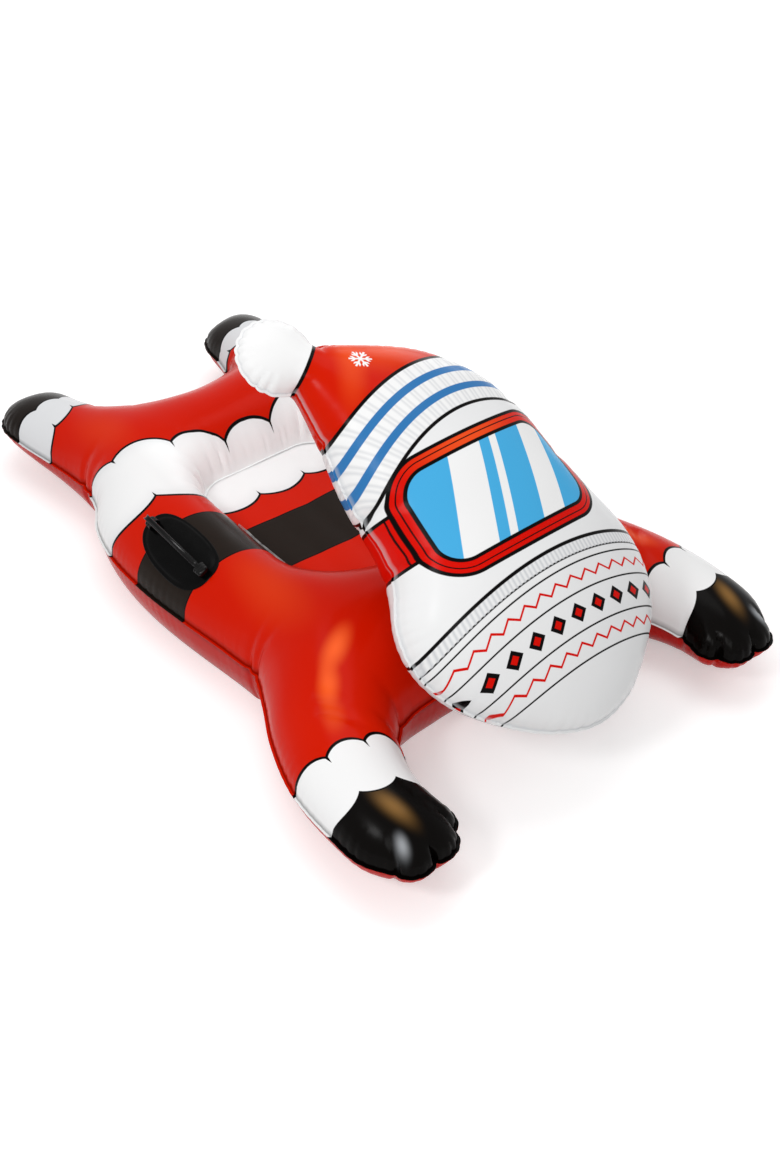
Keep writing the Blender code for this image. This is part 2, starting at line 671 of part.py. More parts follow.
def build_handle(points, triangles, side, label):
    """An oval pad that follows the film, two sockets on it and the grip that folds in them."""
    black = material(f"handle_{label}_vinyl", (0.006, 0.006, 0.007), 0.3)
    under = pad_share(points[triangles].mean(1), side) < 1
    share = pad_share(points, side)
    points, triangles, share = used_only(points, triangles[under], share)
    order = np.argsort(share, kind='stable')
    frame = handle_frame(points[order])
    to_local = np.array(frame.inverted())
    local = points @ to_local[:3, :3].T + to_local[:3, 3]
    thickness = np.where(share > 1 - CLEARANCE, PAD_RIM_SHARE, 1) * PAD_THICKNESS
    vertices, faces = film_shell(local, triangles, FILM + CLEARANCE, thickness)
    add_mesh(f"handle_pad_{label}", vertices, faces, black, frame)

    tree = BVHTree.FromPolygons([Vector(vertex) for vertex in vertices], faces)
    across = np.linspace(-SOCKET_WIDTH / 2, SOCKET_WIDTH / 2, RUN_STEPS)
    along = np.linspace(GRIP_SPAN / 2, GRIP_SPAN / 2 + SOCKET_LENGTH, RUN_STEPS)
    spots = [Vector((x, end * y, PAD_LENGTH)) for x in across for y in along for end in (-1, 1)]
    base = max(tree.ray_cast(spot, Vector((0, 0, -1)))[0].z for spot in spots) + CLEARANCE
    axis_level = base + SOCKET_AXIS_HEIGHT
    for end, word in ((-1, "front"), (1, "rear")):
        near = end * GRIP_SPAN / 2
        add_socket(f"grip_socket_{label}_{word}", frame, base, near, end, black)

    radius = GRIP_DIAMETER / 2
    reach = GRIP_SPAN / 2 + GRIP_PIN
    run = smooth_run(np.array(GRIP_RUN_SHARES) * (GRIP_SPAN / 2, GRIP_RISE))
    arch = [(-reach, 0), *stepped(run, GRIP_STEPS), run[-1], (reach, 0)]
    curve = bpy.data.curves.new(f"grip_{label}", 'CURVE')
    curve.dimensions = '3D'
    curve.bevel_depth = radius
    curve.bevel_resolution = 3
    curve.use_fill_caps = True
    spline = curve.splines.new('POLY')
    spline.points.add(len(arch) - 1)
    for point, (y, z) in zip(spline.points, arch):
        point.co = (0, y, z, 1)
    curve.materials.append(black)
    grip = bpy.data.objects.new(f"grip_{label}", curve)
    bpy.context.scene.collection.objects.link(grip)
    grip.matrix_world = frame @ Matrix.Translation((0, 0, axis_level))


def add_socket(name, frame, base, near, end, finish):
    """A moulded socket on the pad, bored along Y for the grip's pin and closed at its far end."""
    far = near + end * SOCKET_LENGTH
    low = (-SOCKET_WIDTH / 2, min(near, far), base)
    high = (SOCKET_WIDTH / 2, max(near, far), base + SOCKET_HEIGHT)
    socket = add_object(name, box_mesh(name, low, high), finish, frame)
    bevel = socket.modifiers.new("rounded", 'BEVEL')
    bevel.width = SOCKET_ROUNDING
    bevel.segments = 2
    radius = GRIP_DIAMETER / 2 + CLEARANCE
    depth = GRIP_PIN + CLEARANCE
    over = SOCKET_LENGTH / 4
    vertices, faces = solid_turned([(0, -over), (radius, -over), (radius, depth), (0, depth)], ROUND_SIDES)
    axis = base + SOCKET_AXIS_HEIGHT
    place = frame @ Matrix.Translation((0, near, axis)) @ along_y(end)
    bore = plain_mesh(f"{name}_bore", vertices, faces)
    join_shape(socket, add_cutter(bore.name, bore, place), 'DIFFERENCE')


# Valves


def build_valve(label, sheet, seat):
    """A push-in valve on a flat seat: body with neck, one-way flap inside, and a plug on its strap."""
    finish = material(f"{label}_valve_vinyl", (0.80, 0.80, 0.78), 0.35)
    hole = disc_mesh(f"{label}_valve_hole", VALVE_NECK_RADIUS + CLEARANCE, VALVE_TUBE_DEPTH)
    join_shape(sheet, add_cutter(hole.name, hole, seat), 'DIFFERENCE')

    foot = CLEARANCE
    flange_top = foot + VALVE_FLANGE
    rim = flange_top + VALVE_NECK_HEIGHT
    tube_end = -VALVE_TUBE_DEPTH
    profile = [(VALVE_BORE_RADIUS, tube_end), (VALVE_NECK_RADIUS, tube_end), (VALVE_NECK_RADIUS, foot),
               (VALVE_FLANGE_RADIUS, foot), (VALVE_FLANGE_RADIUS, foot + VALVE_FLANGE / 2),
               (VALVE_FLANGE_RADIUS - VALVE_FLANGE, flange_top), (VALVE_NECK_RADIUS, flange_top),
               (VALVE_NECK_RADIUS, rim), (VALVE_BORE_RADIUS, rim)]
    name = f"{label}_valve_body"
    body = add_mesh(name, *turned(profile, ROUND_SIDES), finish, seat)
    hinge_level = rim - PLUG_HINGE_DROP
    lug_top = hinge_level - PLUG_KNUCKLE_RADIUS - CLEARANCE
    side = PLUG_STRAP_WIDTH / 2
    lug = box_mesh(f"{label}_valve_lug", (-PLUG_HINGE_REACH - PLUG_LUG / 2, -side, foot + VALVE_FLANGE / 2),
                   (-PLUG_HINGE_REACH + PLUG_LUG / 2, side, lug_top))
    join_shape(body, add_cutter(lug.name, lug, seat), 'UNION')

    hinge = seat @ Matrix.Translation((-PLUG_HINGE_REACH, 0, hinge_level))
    cap_low = PLUG_HINGE_DROP + CLEARANCE
    stem_top = VALVE_BORE_RADIUS - CLEARANCE
    stem_end = cap_low - CLEARANCE - PLUG_STEM_DEPTH
    profile = [(0, stem_end), (stem_top - PLUG_STEM_TAPER, stem_end), (stem_top, cap_low),
               (VALVE_NECK_RADIUS, cap_low), (VALVE_NECK_RADIUS, cap_low + PLUG_CAP - PLUG_STEM_TAPER),
               (VALVE_NECK_RADIUS - PLUG_STEM_TAPER, cap_low + PLUG_CAP), (0, cap_low + PLUG_CAP)]
    vertices, faces = solid_turned(profile, ROUND_SIDES)
    vertices = [(x + PLUG_HINGE_REACH, y, z) for x, y, z in vertices]
    plug = add_mesh(f"{label}_valve_plug", vertices, faces, finish, hinge)
    knuckle = PLUG_KNUCKLE_RADIUS
    strap_top = cap_low + PLUG_STRAP
    strap = box_mesh(f"{label}_plug_strap", (-knuckle / 2, -side, cap_low + PLUG_STEM_TAPER),
                     (PLUG_HINGE_REACH, side, strap_top))
    strap_end = box_mesh(f"{label}_plug_strap_end", (-knuckle / 2, -side, 0), (knuckle, side, strap_top))
    barrel = disc_mesh(f"{label}_plug_knuckle", knuckle, side)
    for shape, place in ((strap, hinge), (strap_end, hinge), (barrel, hinge @ along_y(1))):
        join_shape(plug, add_cutter(shape.name, shape, place), 'UNION')

    flap_radius = VALVE_NECK_RADIUS - CLEARANCE
    level = tube_end - CLEARANCE - FLAP_THICKNESS / 2
    flap = disc_mesh(f"{label}_valve_flap", flap_radius, FLAP_THICKNESS / 2)
    flap.transform(Matrix.Translation((flap_radius, 0, 0)))
    add_object(flap.name, flap, finish, seat @ Matrix.Translation((-flap_radius, 0, level)))


def main():
    for existing in list(bpy.data.objects):
        bpy.data.objects.remove(existing, do_unlink=True)
    top, valve_seat, neck = build_hull_films()
    build_floor_webs()
    head_back, head_seat = build_head(neck)
    build_valve("hull", top, Matrix.Translation(valve_seat))
    build_valve("head", head_back, head_seat)


main()
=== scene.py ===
"""Inflatable snow sled: the looks of its welded films, print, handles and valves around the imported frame.

Metres, +Z up, the ground at z = 0. The rider's head points to -Y and x = 0 is the middle of the sled.
"""
import math

import bpy
import numpy as np
from mathutils import Color, Matrix, Vector
from mathutils.bvhtree import BVHTree
from mathutils.geometry import delaunay_2d_cdt
from mathutils.kdtree import KDTree


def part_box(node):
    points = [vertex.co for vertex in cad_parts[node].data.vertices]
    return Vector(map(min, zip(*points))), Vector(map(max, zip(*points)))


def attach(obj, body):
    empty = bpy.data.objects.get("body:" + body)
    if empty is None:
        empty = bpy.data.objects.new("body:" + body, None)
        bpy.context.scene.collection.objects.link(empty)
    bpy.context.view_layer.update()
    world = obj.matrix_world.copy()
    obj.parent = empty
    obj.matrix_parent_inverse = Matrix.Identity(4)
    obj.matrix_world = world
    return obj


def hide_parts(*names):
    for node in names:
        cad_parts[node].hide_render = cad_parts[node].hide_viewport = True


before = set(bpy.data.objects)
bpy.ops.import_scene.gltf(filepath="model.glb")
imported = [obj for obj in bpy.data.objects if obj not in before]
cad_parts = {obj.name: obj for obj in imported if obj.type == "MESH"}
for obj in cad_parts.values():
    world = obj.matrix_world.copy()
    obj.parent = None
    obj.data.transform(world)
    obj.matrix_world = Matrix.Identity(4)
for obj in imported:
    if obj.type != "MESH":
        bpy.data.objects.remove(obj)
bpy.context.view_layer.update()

# The hull and the head pillow, with the same sizes as in the frame
HULL_LENGTH = 1.39
HULL_WIDTH = 0.846
SEAM_HEIGHT = 0.085
HULL_PUFF_SHARE = 0.9
FILM = 0.0006
LIP_WIDTH = 0.005
CLEARANCE = 0.0003
DECK_LENGTH = 0.425
DECK_WIDTH = 0.298
DECK_HEIGHT = 0.100
DECK_MIDDLE = 0.018
DECK_FRONT_RADIUS = 0.120
DECK_REAR_RADIUS = 0.070
DECK_LIP_WIDTH = 0.006
HEAD_HALF_WIDTH = 0.224
HEAD_CHIN_REACH = 0.352
HEAD_TILT = math.radians(37)
HEAD_FRONT_PUFF_SHARE = 0.66
HEAD_BACK_PUFF_SHARE = 0.86
HEAD_ADVANCE = 0.087
BOBBLE_RADIUS = 0.058
NECK_DEPTH = 0.1317
NECK_PATCH_LENGTH = 0.160
NECK_PATCH_THICKNESS = 0.001

# Outlines: points as shares of half the width and half the length, for the head of half its width and its
# reach to the chin; bulges as shares of the chord
FRONT_RUN_SHARES = [
    (0.000, -0.628), (0.250, -0.630), (0.440, -0.640), (0.545, -0.676), (0.610, -0.750),
    (0.640, -0.820), (0.640, -0.882)]
FINGER_END_SHARES = [(0.668, -0.947), (0.800, -0.982), (0.930, -0.955)]
FINGER_BULGE_SHARES = [0.22, 0.26, 0.26]
SIDE_RUN_SHARES = [
    (0.930, -0.955), (0.990, -0.888), (1.000, -0.800), (0.985, -0.660), (0.910, -0.520), (0.818, -0.410),
    (0.755, -0.320), (0.762, -0.215), (0.796, -0.055), (0.818, 0.090), (0.812, 0.250), (0.765, 0.370),
    (0.690, 0.455), (0.658, 0.560), (0.680, 0.700), (0.712, 0.830), (0.718, 0.926), (0.672, 0.976),
    (0.605, 0.994), (0.520, 0.979), (0.440, 0.968), (0.390, 0.920), (0.365, 0.830), (0.305, 0.730),
    (0.190, 0.672), (0.000, 0.650)]
HEAD_RUN_SHARES = [
    (0.57, 0.58), (0.70, 0.36), (0.75, 0.14), (0.84, -0.09), (0.94, -0.31), (0.93, -0.50), (0.81, -0.67),
    (0.58, -0.82), (0.32, -0.93), (0.00, -0.97), (-0.32, -0.91), (-0.62, -0.78), (-0.88, -0.60),
    (-1.00, -0.40), (-0.96, -0.22), (-0.82, -0.06), (-0.77, 0.10), (-0.79, 0.24), (-0.78, 0.42),
    (-0.74, 0.62), (-0.72, 0.86)]
HAT_RUN_SHARES = [(-0.43, 1.00), (-0.20, 0.945), (0.20, 0.82), (0.40, 0.71), (0.57, 0.58)]
BOBBLE_MIDDLE_SHARES = (-0.725, 1.03)

HALF_LENGTH = HULL_LENGTH / 2
HALF_WIDTH = HULL_WIDTH / 2

# Where a film is pressed flat round a valve
VALVE_SEAT_RADIUS = 0.026
VALVE_SEAT_BLEND = 0.016
VALVE_HOLE_RADIUS = 0.0088
VALVE_RISE = 0.0068
VALVE_RING_RADIUS = 0.0225
VALVE_RING_WIDTH = 0.0012
VALVE_RING_HEIGHT = 0.0005

# Puckers along the welds. A film's folds are their spacing, reach, height and seed. A sway has its size,
# how often it comes round the loop and its share of the seed.
FOLD_LEAST = 0.15
FOLD_MOST = 1.25
FOLD_BEND_RADIUS = 0.045
FOLD_SHARPNESS = 0.75
FOLD_MEAN = 0.66
TURN_REACH = 0.030
EDGE_TURN = 0.009
FOLD_SWAYS = [(1.9, 3, 1), (1.2, 11, 2), (0.8, 31, 3)]
FOLD_REACH_SWAY = (0.7, 0.45, 17, 5, 2)
FOLD_LEVEL_SWAY = (0.75, 0.4, 23, 7, 0)
HULL_FOLDS = (0.0175, 0.020, 0.0034, 1)
FLOOR_FOLD_SHARE = 0.45
DECK_FOLDS = (0.021, 0.052, 0.0120, 4)
DECK_FOLD_LEVELS = (0.35, 1.3)
HEAD_FOLDS = (0.0190, 0.026, 0.0046, 2)
CREASE_FADE = 1.2

# Slow waves of the films: size, then two sines of x, y, z and seed; and the swelling of the deck
FILM_WAVE = 0.0011
WAVE_LENGTH = 0.110
WAVES = [(1, (2.1, 1.3, 0, 1), (0, 1.7, -0.9, 2)), (0.6, (4.3, -2.9, 1.1, 3), (2.2, 3.7, 0, 1))]
WAVE_SEEDS = {"hull": 2, "curl": 3, "head": 5, "strip": 6}
DECK_SWELL = 0.0012
DECK_SWELL_SHARES = (0.4, 0.6)
DECK_LIP_CURL = 0.0016
DECK_WEB_SPACING = 0.068
DECK_FOLD_SHARE = 0.25

# Creases: start and end as shares like those of the outlines, depth and width in metres
HULL_CREASE_SHARES = [
    ((0.668, -0.950), (0.735, -0.860), 0.0075, 0.0042), ((0.800, -0.985), (0.815, -0.905), 0.0065, 0.0040),
    ((0.930, -0.958), (0.885, -0.895), 0.0065, 0.0040), ((0.636, -0.850), (0.700, -0.825), 0.0060, 0.0050),
    ((0.755, -0.320), (0.615, -0.335), 0.0050, 0.0075), ((0.765, -0.290), (0.600, -0.285), 0.0040, 0.0065),
    ((0.780, -0.602), (0.660, -0.720), 0.0060, 0.0080), ((0.752, -0.560), (0.655, -0.670), 0.0042, 0.0075),
    ((0.570, -0.690), (0.700, -0.600), 0.0045, 0.0080), ((0.500, -0.655), (0.560, -0.560), 0.0035, 0.0075),
    ((0.660, 0.560), (0.540, 0.545), 0.0050, 0.0080), ((0.672, 0.520), (0.560, 0.490), 0.0035, 0.0070),
    ((0.330, 0.770), (0.450, 0.720), 0.0045, 0.0080), ((0.240, 0.690), (0.330, 0.600), 0.0040, 0.0080)]
HEAD_CREASE_SHARES = [
    ((-0.780, 0.250), (-0.560, 0.200), 0.0050, 0.0080), ((-0.760, 0.620), (-0.560, 0.560), 0.0040, 0.0070),
    ((-0.430, 1.000), (-0.520, 0.860), 0.0040, 0.0070), ((-0.800, 0.000), (-0.600, -0.040), 0.0050, 0.0090),
    ((0.760, 0.120), (0.560, 0.100), 0.0045, 0.0090), ((0.640, 0.450), (0.480, 0.380), 0.0040, 0.0080)]

# Finish of the films
FILM_ROUGHNESS = (0.17, 0.28)
FILM_GRAIN_SCALE = 170
FILM_GRAIN_SHARE = 0.006
FILM_SLOW_SCALE = 14
FILM_SHINE_SCALE = 30
FILM_BUMP = (0.25, 0.0016)
FILM_GLOSS = 0.05
WELD_LINE = 0.0016
WELD_SHADE = 0.55
# Marks the cut edges where a film carries a painted glint
GLINT_EDGE_SHARE = 0.75

# The hull's print and the painted light laid over it, in metres along and across the sled
PRINT_SOFT = 0.0009
PRINT_CLOUD_SCALE = 5
RED_CLOUD_SHARE = 0.5
WHITE_CLOUD_SHARE = 0.35
LINE = 0.0054
NOTCH_SLOPE = 5
NOTCH_DEPTH = 0.013
BELT_MIDDLE = 0.004
BELT_SLOPE = 0.055
BELT_WIDTH = 0.128
BELT_LINE = 0.0025
HEM_FRONT = 0.145
HEM_FRONT_CURVE = 0.33
HEM_REAR = 0.248
HEM_REAR_CURVE = 1.05
HEM_PERIOD = 0.100
HEM_RISE = 0.020
HEM_SHADE_REACH = 0.040
HEM_SHADE = 0.4
# In the hollow by the deck the hem gets a painted lift, paler and cooler against its shade and the red light
# thrown into it
HEM_HOLLOW = 0.215
HEM_HOLLOW_BLEND = 0.050
DECK_HOLLOW_SHARE = 0.2
ARM_MIDDLE = 0.345
ARM_PERIOD = 0.058
ARM_RISE = 0.013
GLOVE_PLACE = -0.566
GLOVE_SLOPE = 0.18
CUFF_PLACE = -0.490
CUFF_SLOPE = 0.25
# How strongly the glove's printed sheen and its painted knuckle highlight are laid
SHEEN_SHARE = 0.9
LEG_MIDDLE = 0.235
LEG_PERIOD = 0.050
LEG_RISE = 0.010
ANKLE_PLACE = 0.519
ANKLE_SLOPE = 0.36
BOOT_PLACE = 0.586

# Painted highlights on the red, soft bright patches where the light pools on the bulging film: middle, radii,
# lean and strength
RED_PAINTED_HIGHLIGHTS = [
    ((0.251, -0.346), (0.062, 0.027), -0.55, 0.9), ((0.298, -0.389), (0.052, 0.024), -0.92, 0.8),
    ((0.324, -0.434), (0.044, 0.024), -1.05, 0.35), ((0.240, -0.160), (0.060, 0.150), 0.1, 0.2),
    ((0.215, 0.400), (0.050, 0.110), -0.1, 0.12)]
HAT_PAINTED_HIGHLIGHTS = [((-0.020, 0.310), (0.110, 0.075), -0.45, 0.45), ((-0.085, 0.300), (0.030, 0.110), -0.55, 0.35)]

# The head pillow's print and its painted highlights, in metres from the middle of its frame
HAT_MIDDLE = (0.020, -0.115)
CUFF_INNER = 0.277
CUFF_OUTER = 0.372
CUFF_STRIPES = (0.307, 0.342)
CUFF_STRIPE_WIDTH = 0.012
CUFF_RIB_TURN = 0.060
CUFF_RIB_LINE = 0.0034
CUFF_RIB_SHADE = 0.6
FLAKE_PLACE = (-0.090, 0.412)
FLAKE_REACH = 0.017
FLAKE_LINE = 0.0030
FLAKE_FORK_LINE = 0.0042
FLAKE_FORK_SHARE = 0.45
FLAKE_FORK_REACH_SHARE = 0.30
BOBBLE_NECK = (-0.144, 0.322)
BOBBLE_WAY = (-0.640, 0.768)
GOGGLES_MIDDLE = (0.000, 0.030)
GOGGLES_HALF = (0.158, 0.096)
GOGGLES_RADIUS = 0.060
GOGGLES_RIM = 0.021
STRAP_WIDTH = 0.078
RIM_GROOVE_SHARE = 0.45
BUCKLE_PLACE = 0.1655
# A painted highlight along the top of the goggles' frame
FRAME_HIGHLIGHT_PLACE = (-0.010, 0.115)
FRAME_HIGHLIGHT_RADII = (0.130, 0.050)
FRAME_HIGHLIGHT_SHARE = 0.55
LENS_SLANT = 0.42
LENS_GLINTS = [(-0.070, 0.058), (-0.014, 0.014), (0.068, 0.046)]
WARMER_CURVE = -0.9
WARMER_EDGE = -0.088
WARMER_ROLL = 0.020
WARMER_RIB = 0.015

# Handles: the pad's profile gives rises at shares of its half width, the strap's runs round half its section
HANDLE_REACH = 0.287
HANDLE_PLACE = 0.033
PAD_LENGTH = 0.182
PAD_WIDTH = 0.082
PAD_ROUNDNESS = 2.5
PAD_STEPS = 96
PAD_PROFILE = [
    (0.12, 0.0023), (0.30, 0.0023), (0.46, 0.0023), (0.60, 0.0022), (0.72, 0.0022), (0.80, 0.0021),
    (0.85, 0.0018), (0.88, 0.0012), (0.90, 0.0009), (0.93, 0.0009), (0.955, 0.0010), (0.975, 0.0013),
    (0.99, 0.0012), (1.00, 0.0007)]
GRIP_SPAN = 0.132
GRIP_RISE = 0.045
GRIP_PIN = 0.010
GRIP_STEPS = 70
GRIP_RUN_SHARES = [
    (-0.93, 0), (-0.84, 0.05), (-0.70, 0.18), (-0.50, 0.36), (-0.20, 0.58), (0.20, 0.80), (0.50, 0.93),
    (0.70, 1.00), (0.81, 0.94), (0.85, 0.80), (0.85, 0.50), (0.85, 0.22), (0.875, 0.07), (0.93, 0)]
PIN_RADIUS = 0.0044
PIN_START_SHARE = 0.88
PIN_BLEND_SHARE = 0.06
STRAP_HALF_PROFILE = [
    (-0.0038, -0.0029), (-0.0046, -0.0022), (-0.0047, 0.0010), (-0.0046, 0.0024), (-0.0041, 0.0030),
    (-0.0035, 0.0029), (-0.0030, 0.0021), (-0.0022, 0.0018)]

# Sockets: the profile gives the scale of the section at shares of the length
SOCKET_LENGTH = 0.018
SOCKET_WIDTH = 0.022
SOCKET_HEIGHT = 0.015
SOCKET_AXIS_HEIGHT = 0.008
SOCKET_SIDES = 32
SOCKET_ROUNDNESS = 3.4
BORE_REACH_SHARE = 0.05
SOCKET_PROFILE = [
    (1.00, 0.40), (0.985, 0.58), (0.94, 0.74), (0.86, 0.86), (0.74, 0.93), (0.66, 0.955), (0.62, 0.90),
    (0.57, 0.90), (0.53, 0.97), (0.36, 0.985), (0.32, 0.92), (0.27, 0.92), (0.23, 0.99), (0.06, 1.00),
    (0.01, 0.97), (0.00, 0.93)]

# The two sides and the sign of x there
SIDES = (("right", -1), ("left", 1))

# Clear strips along the deck
STRIP_WIDTH = 0.010
STRIP_ROWS = 6
STRIP_START = -0.062
STRIP_END = 0.088
STRIP_INSET = 0.002
STRIP_GAP = 0.004
STRIP_LIFT = 0.007
STRIP_WAVE_SHARE = 0.35
STRIP_WELD_SHARE = 0.2
STRIP_WELD_LEVEL = 0.9
STRIP_CLOUD_SCALE = 60
STRIP_CLOUD_RAMP = (2.4, -0.6)
STRIP_VEIL = 0.06
STRIP_ROUGHNESS = (0.08, 0.2)
STRIP_GLOSS = 0.5

# Moulded pieces
MOULDED_CLOUD_SCALE = 45
MOULDED_GRAIN_SCALE = 900
MOULDED_SHINE_SHARES = (0.7, 1.3)
MOULDED_BUMP = (0.12, 0.0004)
SCUFF_GAIN = 1.6
SCUFF_LIFT = 0.004
SCUFF_SHARE = 0.4

# Camera: pixel values are the photograph's
PHOTO_HEIGHT = 1170
FOCAL_PIXELS = 1444.2
SENSOR_HEIGHT = 36
CAMERA_TURN = math.radians(39.12)
CAMERA_DROP = math.radians(40.98)
CAMERA_AIM = (0, 0.0055, 0)
CAMERA_REACH = 2.635
CAMERA_RIGHT = -0.109
CAMERA_UP = 0.039

# Light: name, place, aim, size in metres, power in watts
LAMPS = [
    ("key", (-2.2, -0.6, 2.3), (0, 0, 0.1), (0.6, 0.6), 21),
    ("top", (0.3, 0.5, 2.8), (0, 0, 0.1), (2.4, 1.6), 24),
    ("fill", (-1.5, -2.1, 2.1), (0, 0, 0.1), (1.2, 0.9), 14),
    ("rim", (2.4, 1.6, 1.6), (0, 0, 0.1), (1.2, 1.8), 16)]
WORLD_LIGHT = 0.50
FLOOR_SIZE = 14
FLOOR_LIFT = 0.35
FLOOR_NEAR = 1.2
FLOOR_FADE = 1.5
FLOOR_ROUGHNESS = 0.9

# Mesh: rows of points beside a weld, the open film between them, and the solver
SEAM_STEP = 0.0030
ROW_REACHES = (0.0010, 0.0028, 0.0052, 0.0082, 0.0118, 0.016, 0.021, 0.027, 0.034, 0.042, 0.051)
OPEN_CELL = 0.0090
SMOOTH_SAMPLES = 12
RUN_STEPS = 5
EDGE_KEEP_SHARE = 0.96
SOLVER_STEPS = 1500
SOLVER_LEAST = 1e-12
CHUNK = 1500
SHARP_ANGLE = math.radians(50)


# Outlines


def smooth_run(points):
    """A smooth curve through the points, sampled closely; it passes the ends straight."""
    points = np.asarray(points, float)
    padded = np.vstack([2 * points[0] - points[1], points, 2 * points[-1] - points[-2]])
    samples = []
    for index in range(len(points) - 1):
        p0, p1, p2, p3 = padded[index:index + 4]
        knots = np.cumsum([0] + [math.sqrt(np.linalg.norm(b - a)) for a, b in ((p0, p1), (p1, p2), (p2, p3))])
        t = np.linspace(knots[1], knots[2], SMOOTH_SAMPLES, endpoint=False)[:, None]

        def mixed(a, b, low, high):
            return ((knots[high] - t) * a + (t - knots[low]) * b) / (knots[high] - knots[low])

        a, b, c = mixed(p0, p1, 0, 1), mixed(p1, p2, 1, 2), mixed(p2, p3, 2, 3)
        samples.append(mixed(mixed(a, b, 0, 2), mixed(b, c, 1, 3), 1, 2))
    samples.append(points[-1:])
    return np.vstack(samples)


def bulged_run(start, end, bulge_share):
    """An arc from start to end that bulges to its right by a share of its chord."""
    start, end = np.asarray(start, float), np.asarray(end, float)
    chord = end - start
    side = np.array([chord[1], -chord[0]])
    half_angle = 2 * math.atan(2 * bulge_share)
    middle = (start + end) / 2 - side / (2 * math.tan(half_angle))
    angles = np.linspace(0, 2 * half_angle, 2 * SMOOTH_SAMPLES)
    first = start - middle
    return np.array([middle + (first[0] * math.cos(a) - first[1] * math.sin(a),
                               first[0] * math.sin(a) + first[1] * math.cos(a)) for a in angles])


def circle_run(middle, radius, start, end):
    """The arc round middle from angle start to angle end."""
    angles = np.linspace(start, end, 4 * SMOOTH_SAMPLES)
    return np.array([(middle[0] + radius * math.cos(a), middle[1] + radius * math.sin(a)) for a in angles])


def run_steps(run):
    return np.linalg.norm(np.diff(run, axis=0), axis=1)


def stepped(run, count):
    """Points at count even steps along the run, its last point left out."""
    lengths = np.concatenate([[0], np.cumsum(run_steps(run))])
    stops = np.linspace(0, lengths[-1], count, endpoint=False)
    return np.stack([np.interp(stops, lengths, run[:, axis]) for axis in (0, 1)], axis=1)


def even_loop(runs):
    """One closed loop from runs that meet end to start, with even steps and each joint kept."""
    loop = []
    for run in runs:
        loop.append(stepped(run, max(RUN_STEPS, round(run_steps(run).sum() / SEAM_STEP))))
    return np.vstack(loop)


def mirrored(run):
    return (run * (-1, 1))[::-1]


def hull_outline():
    scale = np.array([HALF_WIDTH, HALF_LENGTH])
    front = smooth_run(np.array([(-x, y) for x, y in FRONT_RUN_SHARES[:0:-1]] + FRONT_RUN_SHARES) * scale)
    rear = smooth_run(np.array(SIDE_RUN_SHARES + [(-x, y) for x, y in SIDE_RUN_SHARES[-2::-1]]) * scale)
    corners = np.array(FRONT_RUN_SHARES[-1:] + FINGER_END_SHARES) * scale
    fingers = [bulged_run(a, b, bulge) for a, b, bulge in zip(corners, corners[1:], FINGER_BULGE_SHARES)]
    return even_loop([front] + fingers + [rear] + [mirrored(run) for run in fingers[::-1]])


def deck_outline():
    front = DECK_MIDDLE - DECK_LENGTH / 2
    rear = DECK_MIDDLE + DECK_LENGTH / 2
    side = DECK_WIDTH / 2
    quarter = math.pi / 2
    runs = [
        circle_run((side - DECK_FRONT_RADIUS, front + DECK_FRONT_RADIUS), DECK_FRONT_RADIUS, -quarter, 0),
        circle_run((side - DECK_REAR_RADIUS, rear - DECK_REAR_RADIUS), DECK_REAR_RADIUS, 0, quarter)]
    half = np.vstack(runs)
    return even_loop([np.vstack([half, mirrored(half), half[:1]])])


def head_outline():
    scale = np.array([HEAD_HALF_WIDTH, HEAD_CHIN_REACH])
    face = smooth_run(np.array(HEAD_RUN_SHARES) * scale)[::-1]
    hat = smooth_run(np.array(HAT_RUN_SHARES) * scale)[::-1]
    middle = np.array(BOBBLE_MIDDLE_SHARES) * scale
    upper, lower = hat[-1] - middle, face[0] - middle
    start = math.atan2(upper[1], upper[0])
    end = math.atan2(lower[1], lower[0])
    bobble = circle_run(middle, BOBBLE_RADIUS, start, end + 2 * math.pi)
    bobble = np.vstack([hat[-1:], bobble, face[:1]])
    return even_loop([face, hat, bobble])


# Flat patterns and inflation


def loop_steps(loop):
    """The way from each point of a closed loop to the next, its length, and how far along the point lies."""
    ahead = np.roll(loop, -1, 0) - loop
    lengths = np.linalg.norm(ahead, axis=1)
    return ahead, lengths, np.concatenate([[0], np.cumsum(lengths)[:-1]])


def nearest_on_loop(points, loop):
    """Each point's distance to the closed loop, and how far along the loop its nearest place lies."""
    tree = KDTree(len(loop))
    for index, (x, y) in enumerate(loop):
        tree.insert((x, y, 0), index)
    tree.balance()
    nearest = np.array([tree.find((x, y, 0))[1] for x, y in points], int)
    ahead, lengths, starts = loop_steps(loop)
    best, along = np.full(len(points), np.inf), np.zeros(len(points))
    for edge in (nearest, (nearest - 1) % len(loop)):
        reach = points - loop[edge]
        share = np.clip((reach * ahead[edge]).sum(1) / lengths[edge] ** 2, 0, 1)
        gap = np.linalg.norm(reach - share[:, None] * ahead[edge], axis=1)
        along = np.where(gap < best, starts[edge] + share * lengths[edge], along)
        best = np.minimum(gap, best)
    return best, along


def is_inside(points, loop):
    ahead = np.roll(loop, -1, 0)
    rise = np.where(ahead[:, 1] == loop[:, 1], 1, ahead[:, 1] - loop[:, 1])
    found = []
    for part in np.array_split(points, len(points) // CHUNK + 1):
        x, y = part[:, :1], part[:, 1:]
        crossing = loop[:, 0] + (ahead[:, 0] - loop[:, 0]) * (y - loop[:, 1]) / rise
        spans = (loop[:, 1] > y) != (ahead[:, 1] > y)
        found.append((spans & (x < crossing)).sum(1) % 2 == 1)
    return np.concatenate(found)


def loop_normals(loop):
    along = np.roll(loop, -1, 0) - np.roll(loop, 1, 0)
    return np.stack([along[:, 1], -along[:, 0]], axis=1) / np.linalg.norm(along, axis=1)[:, None]


def offset_loop(loop, distance):
    """The loop moved outwards by distance, inwards where it is negative, without its crossed-over points."""
    moved = loop + loop_normals(loop) * distance
    return moved[nearest_on_loop(moved, loop)[0] > abs(distance) * EDGE_KEEP_SHARE]


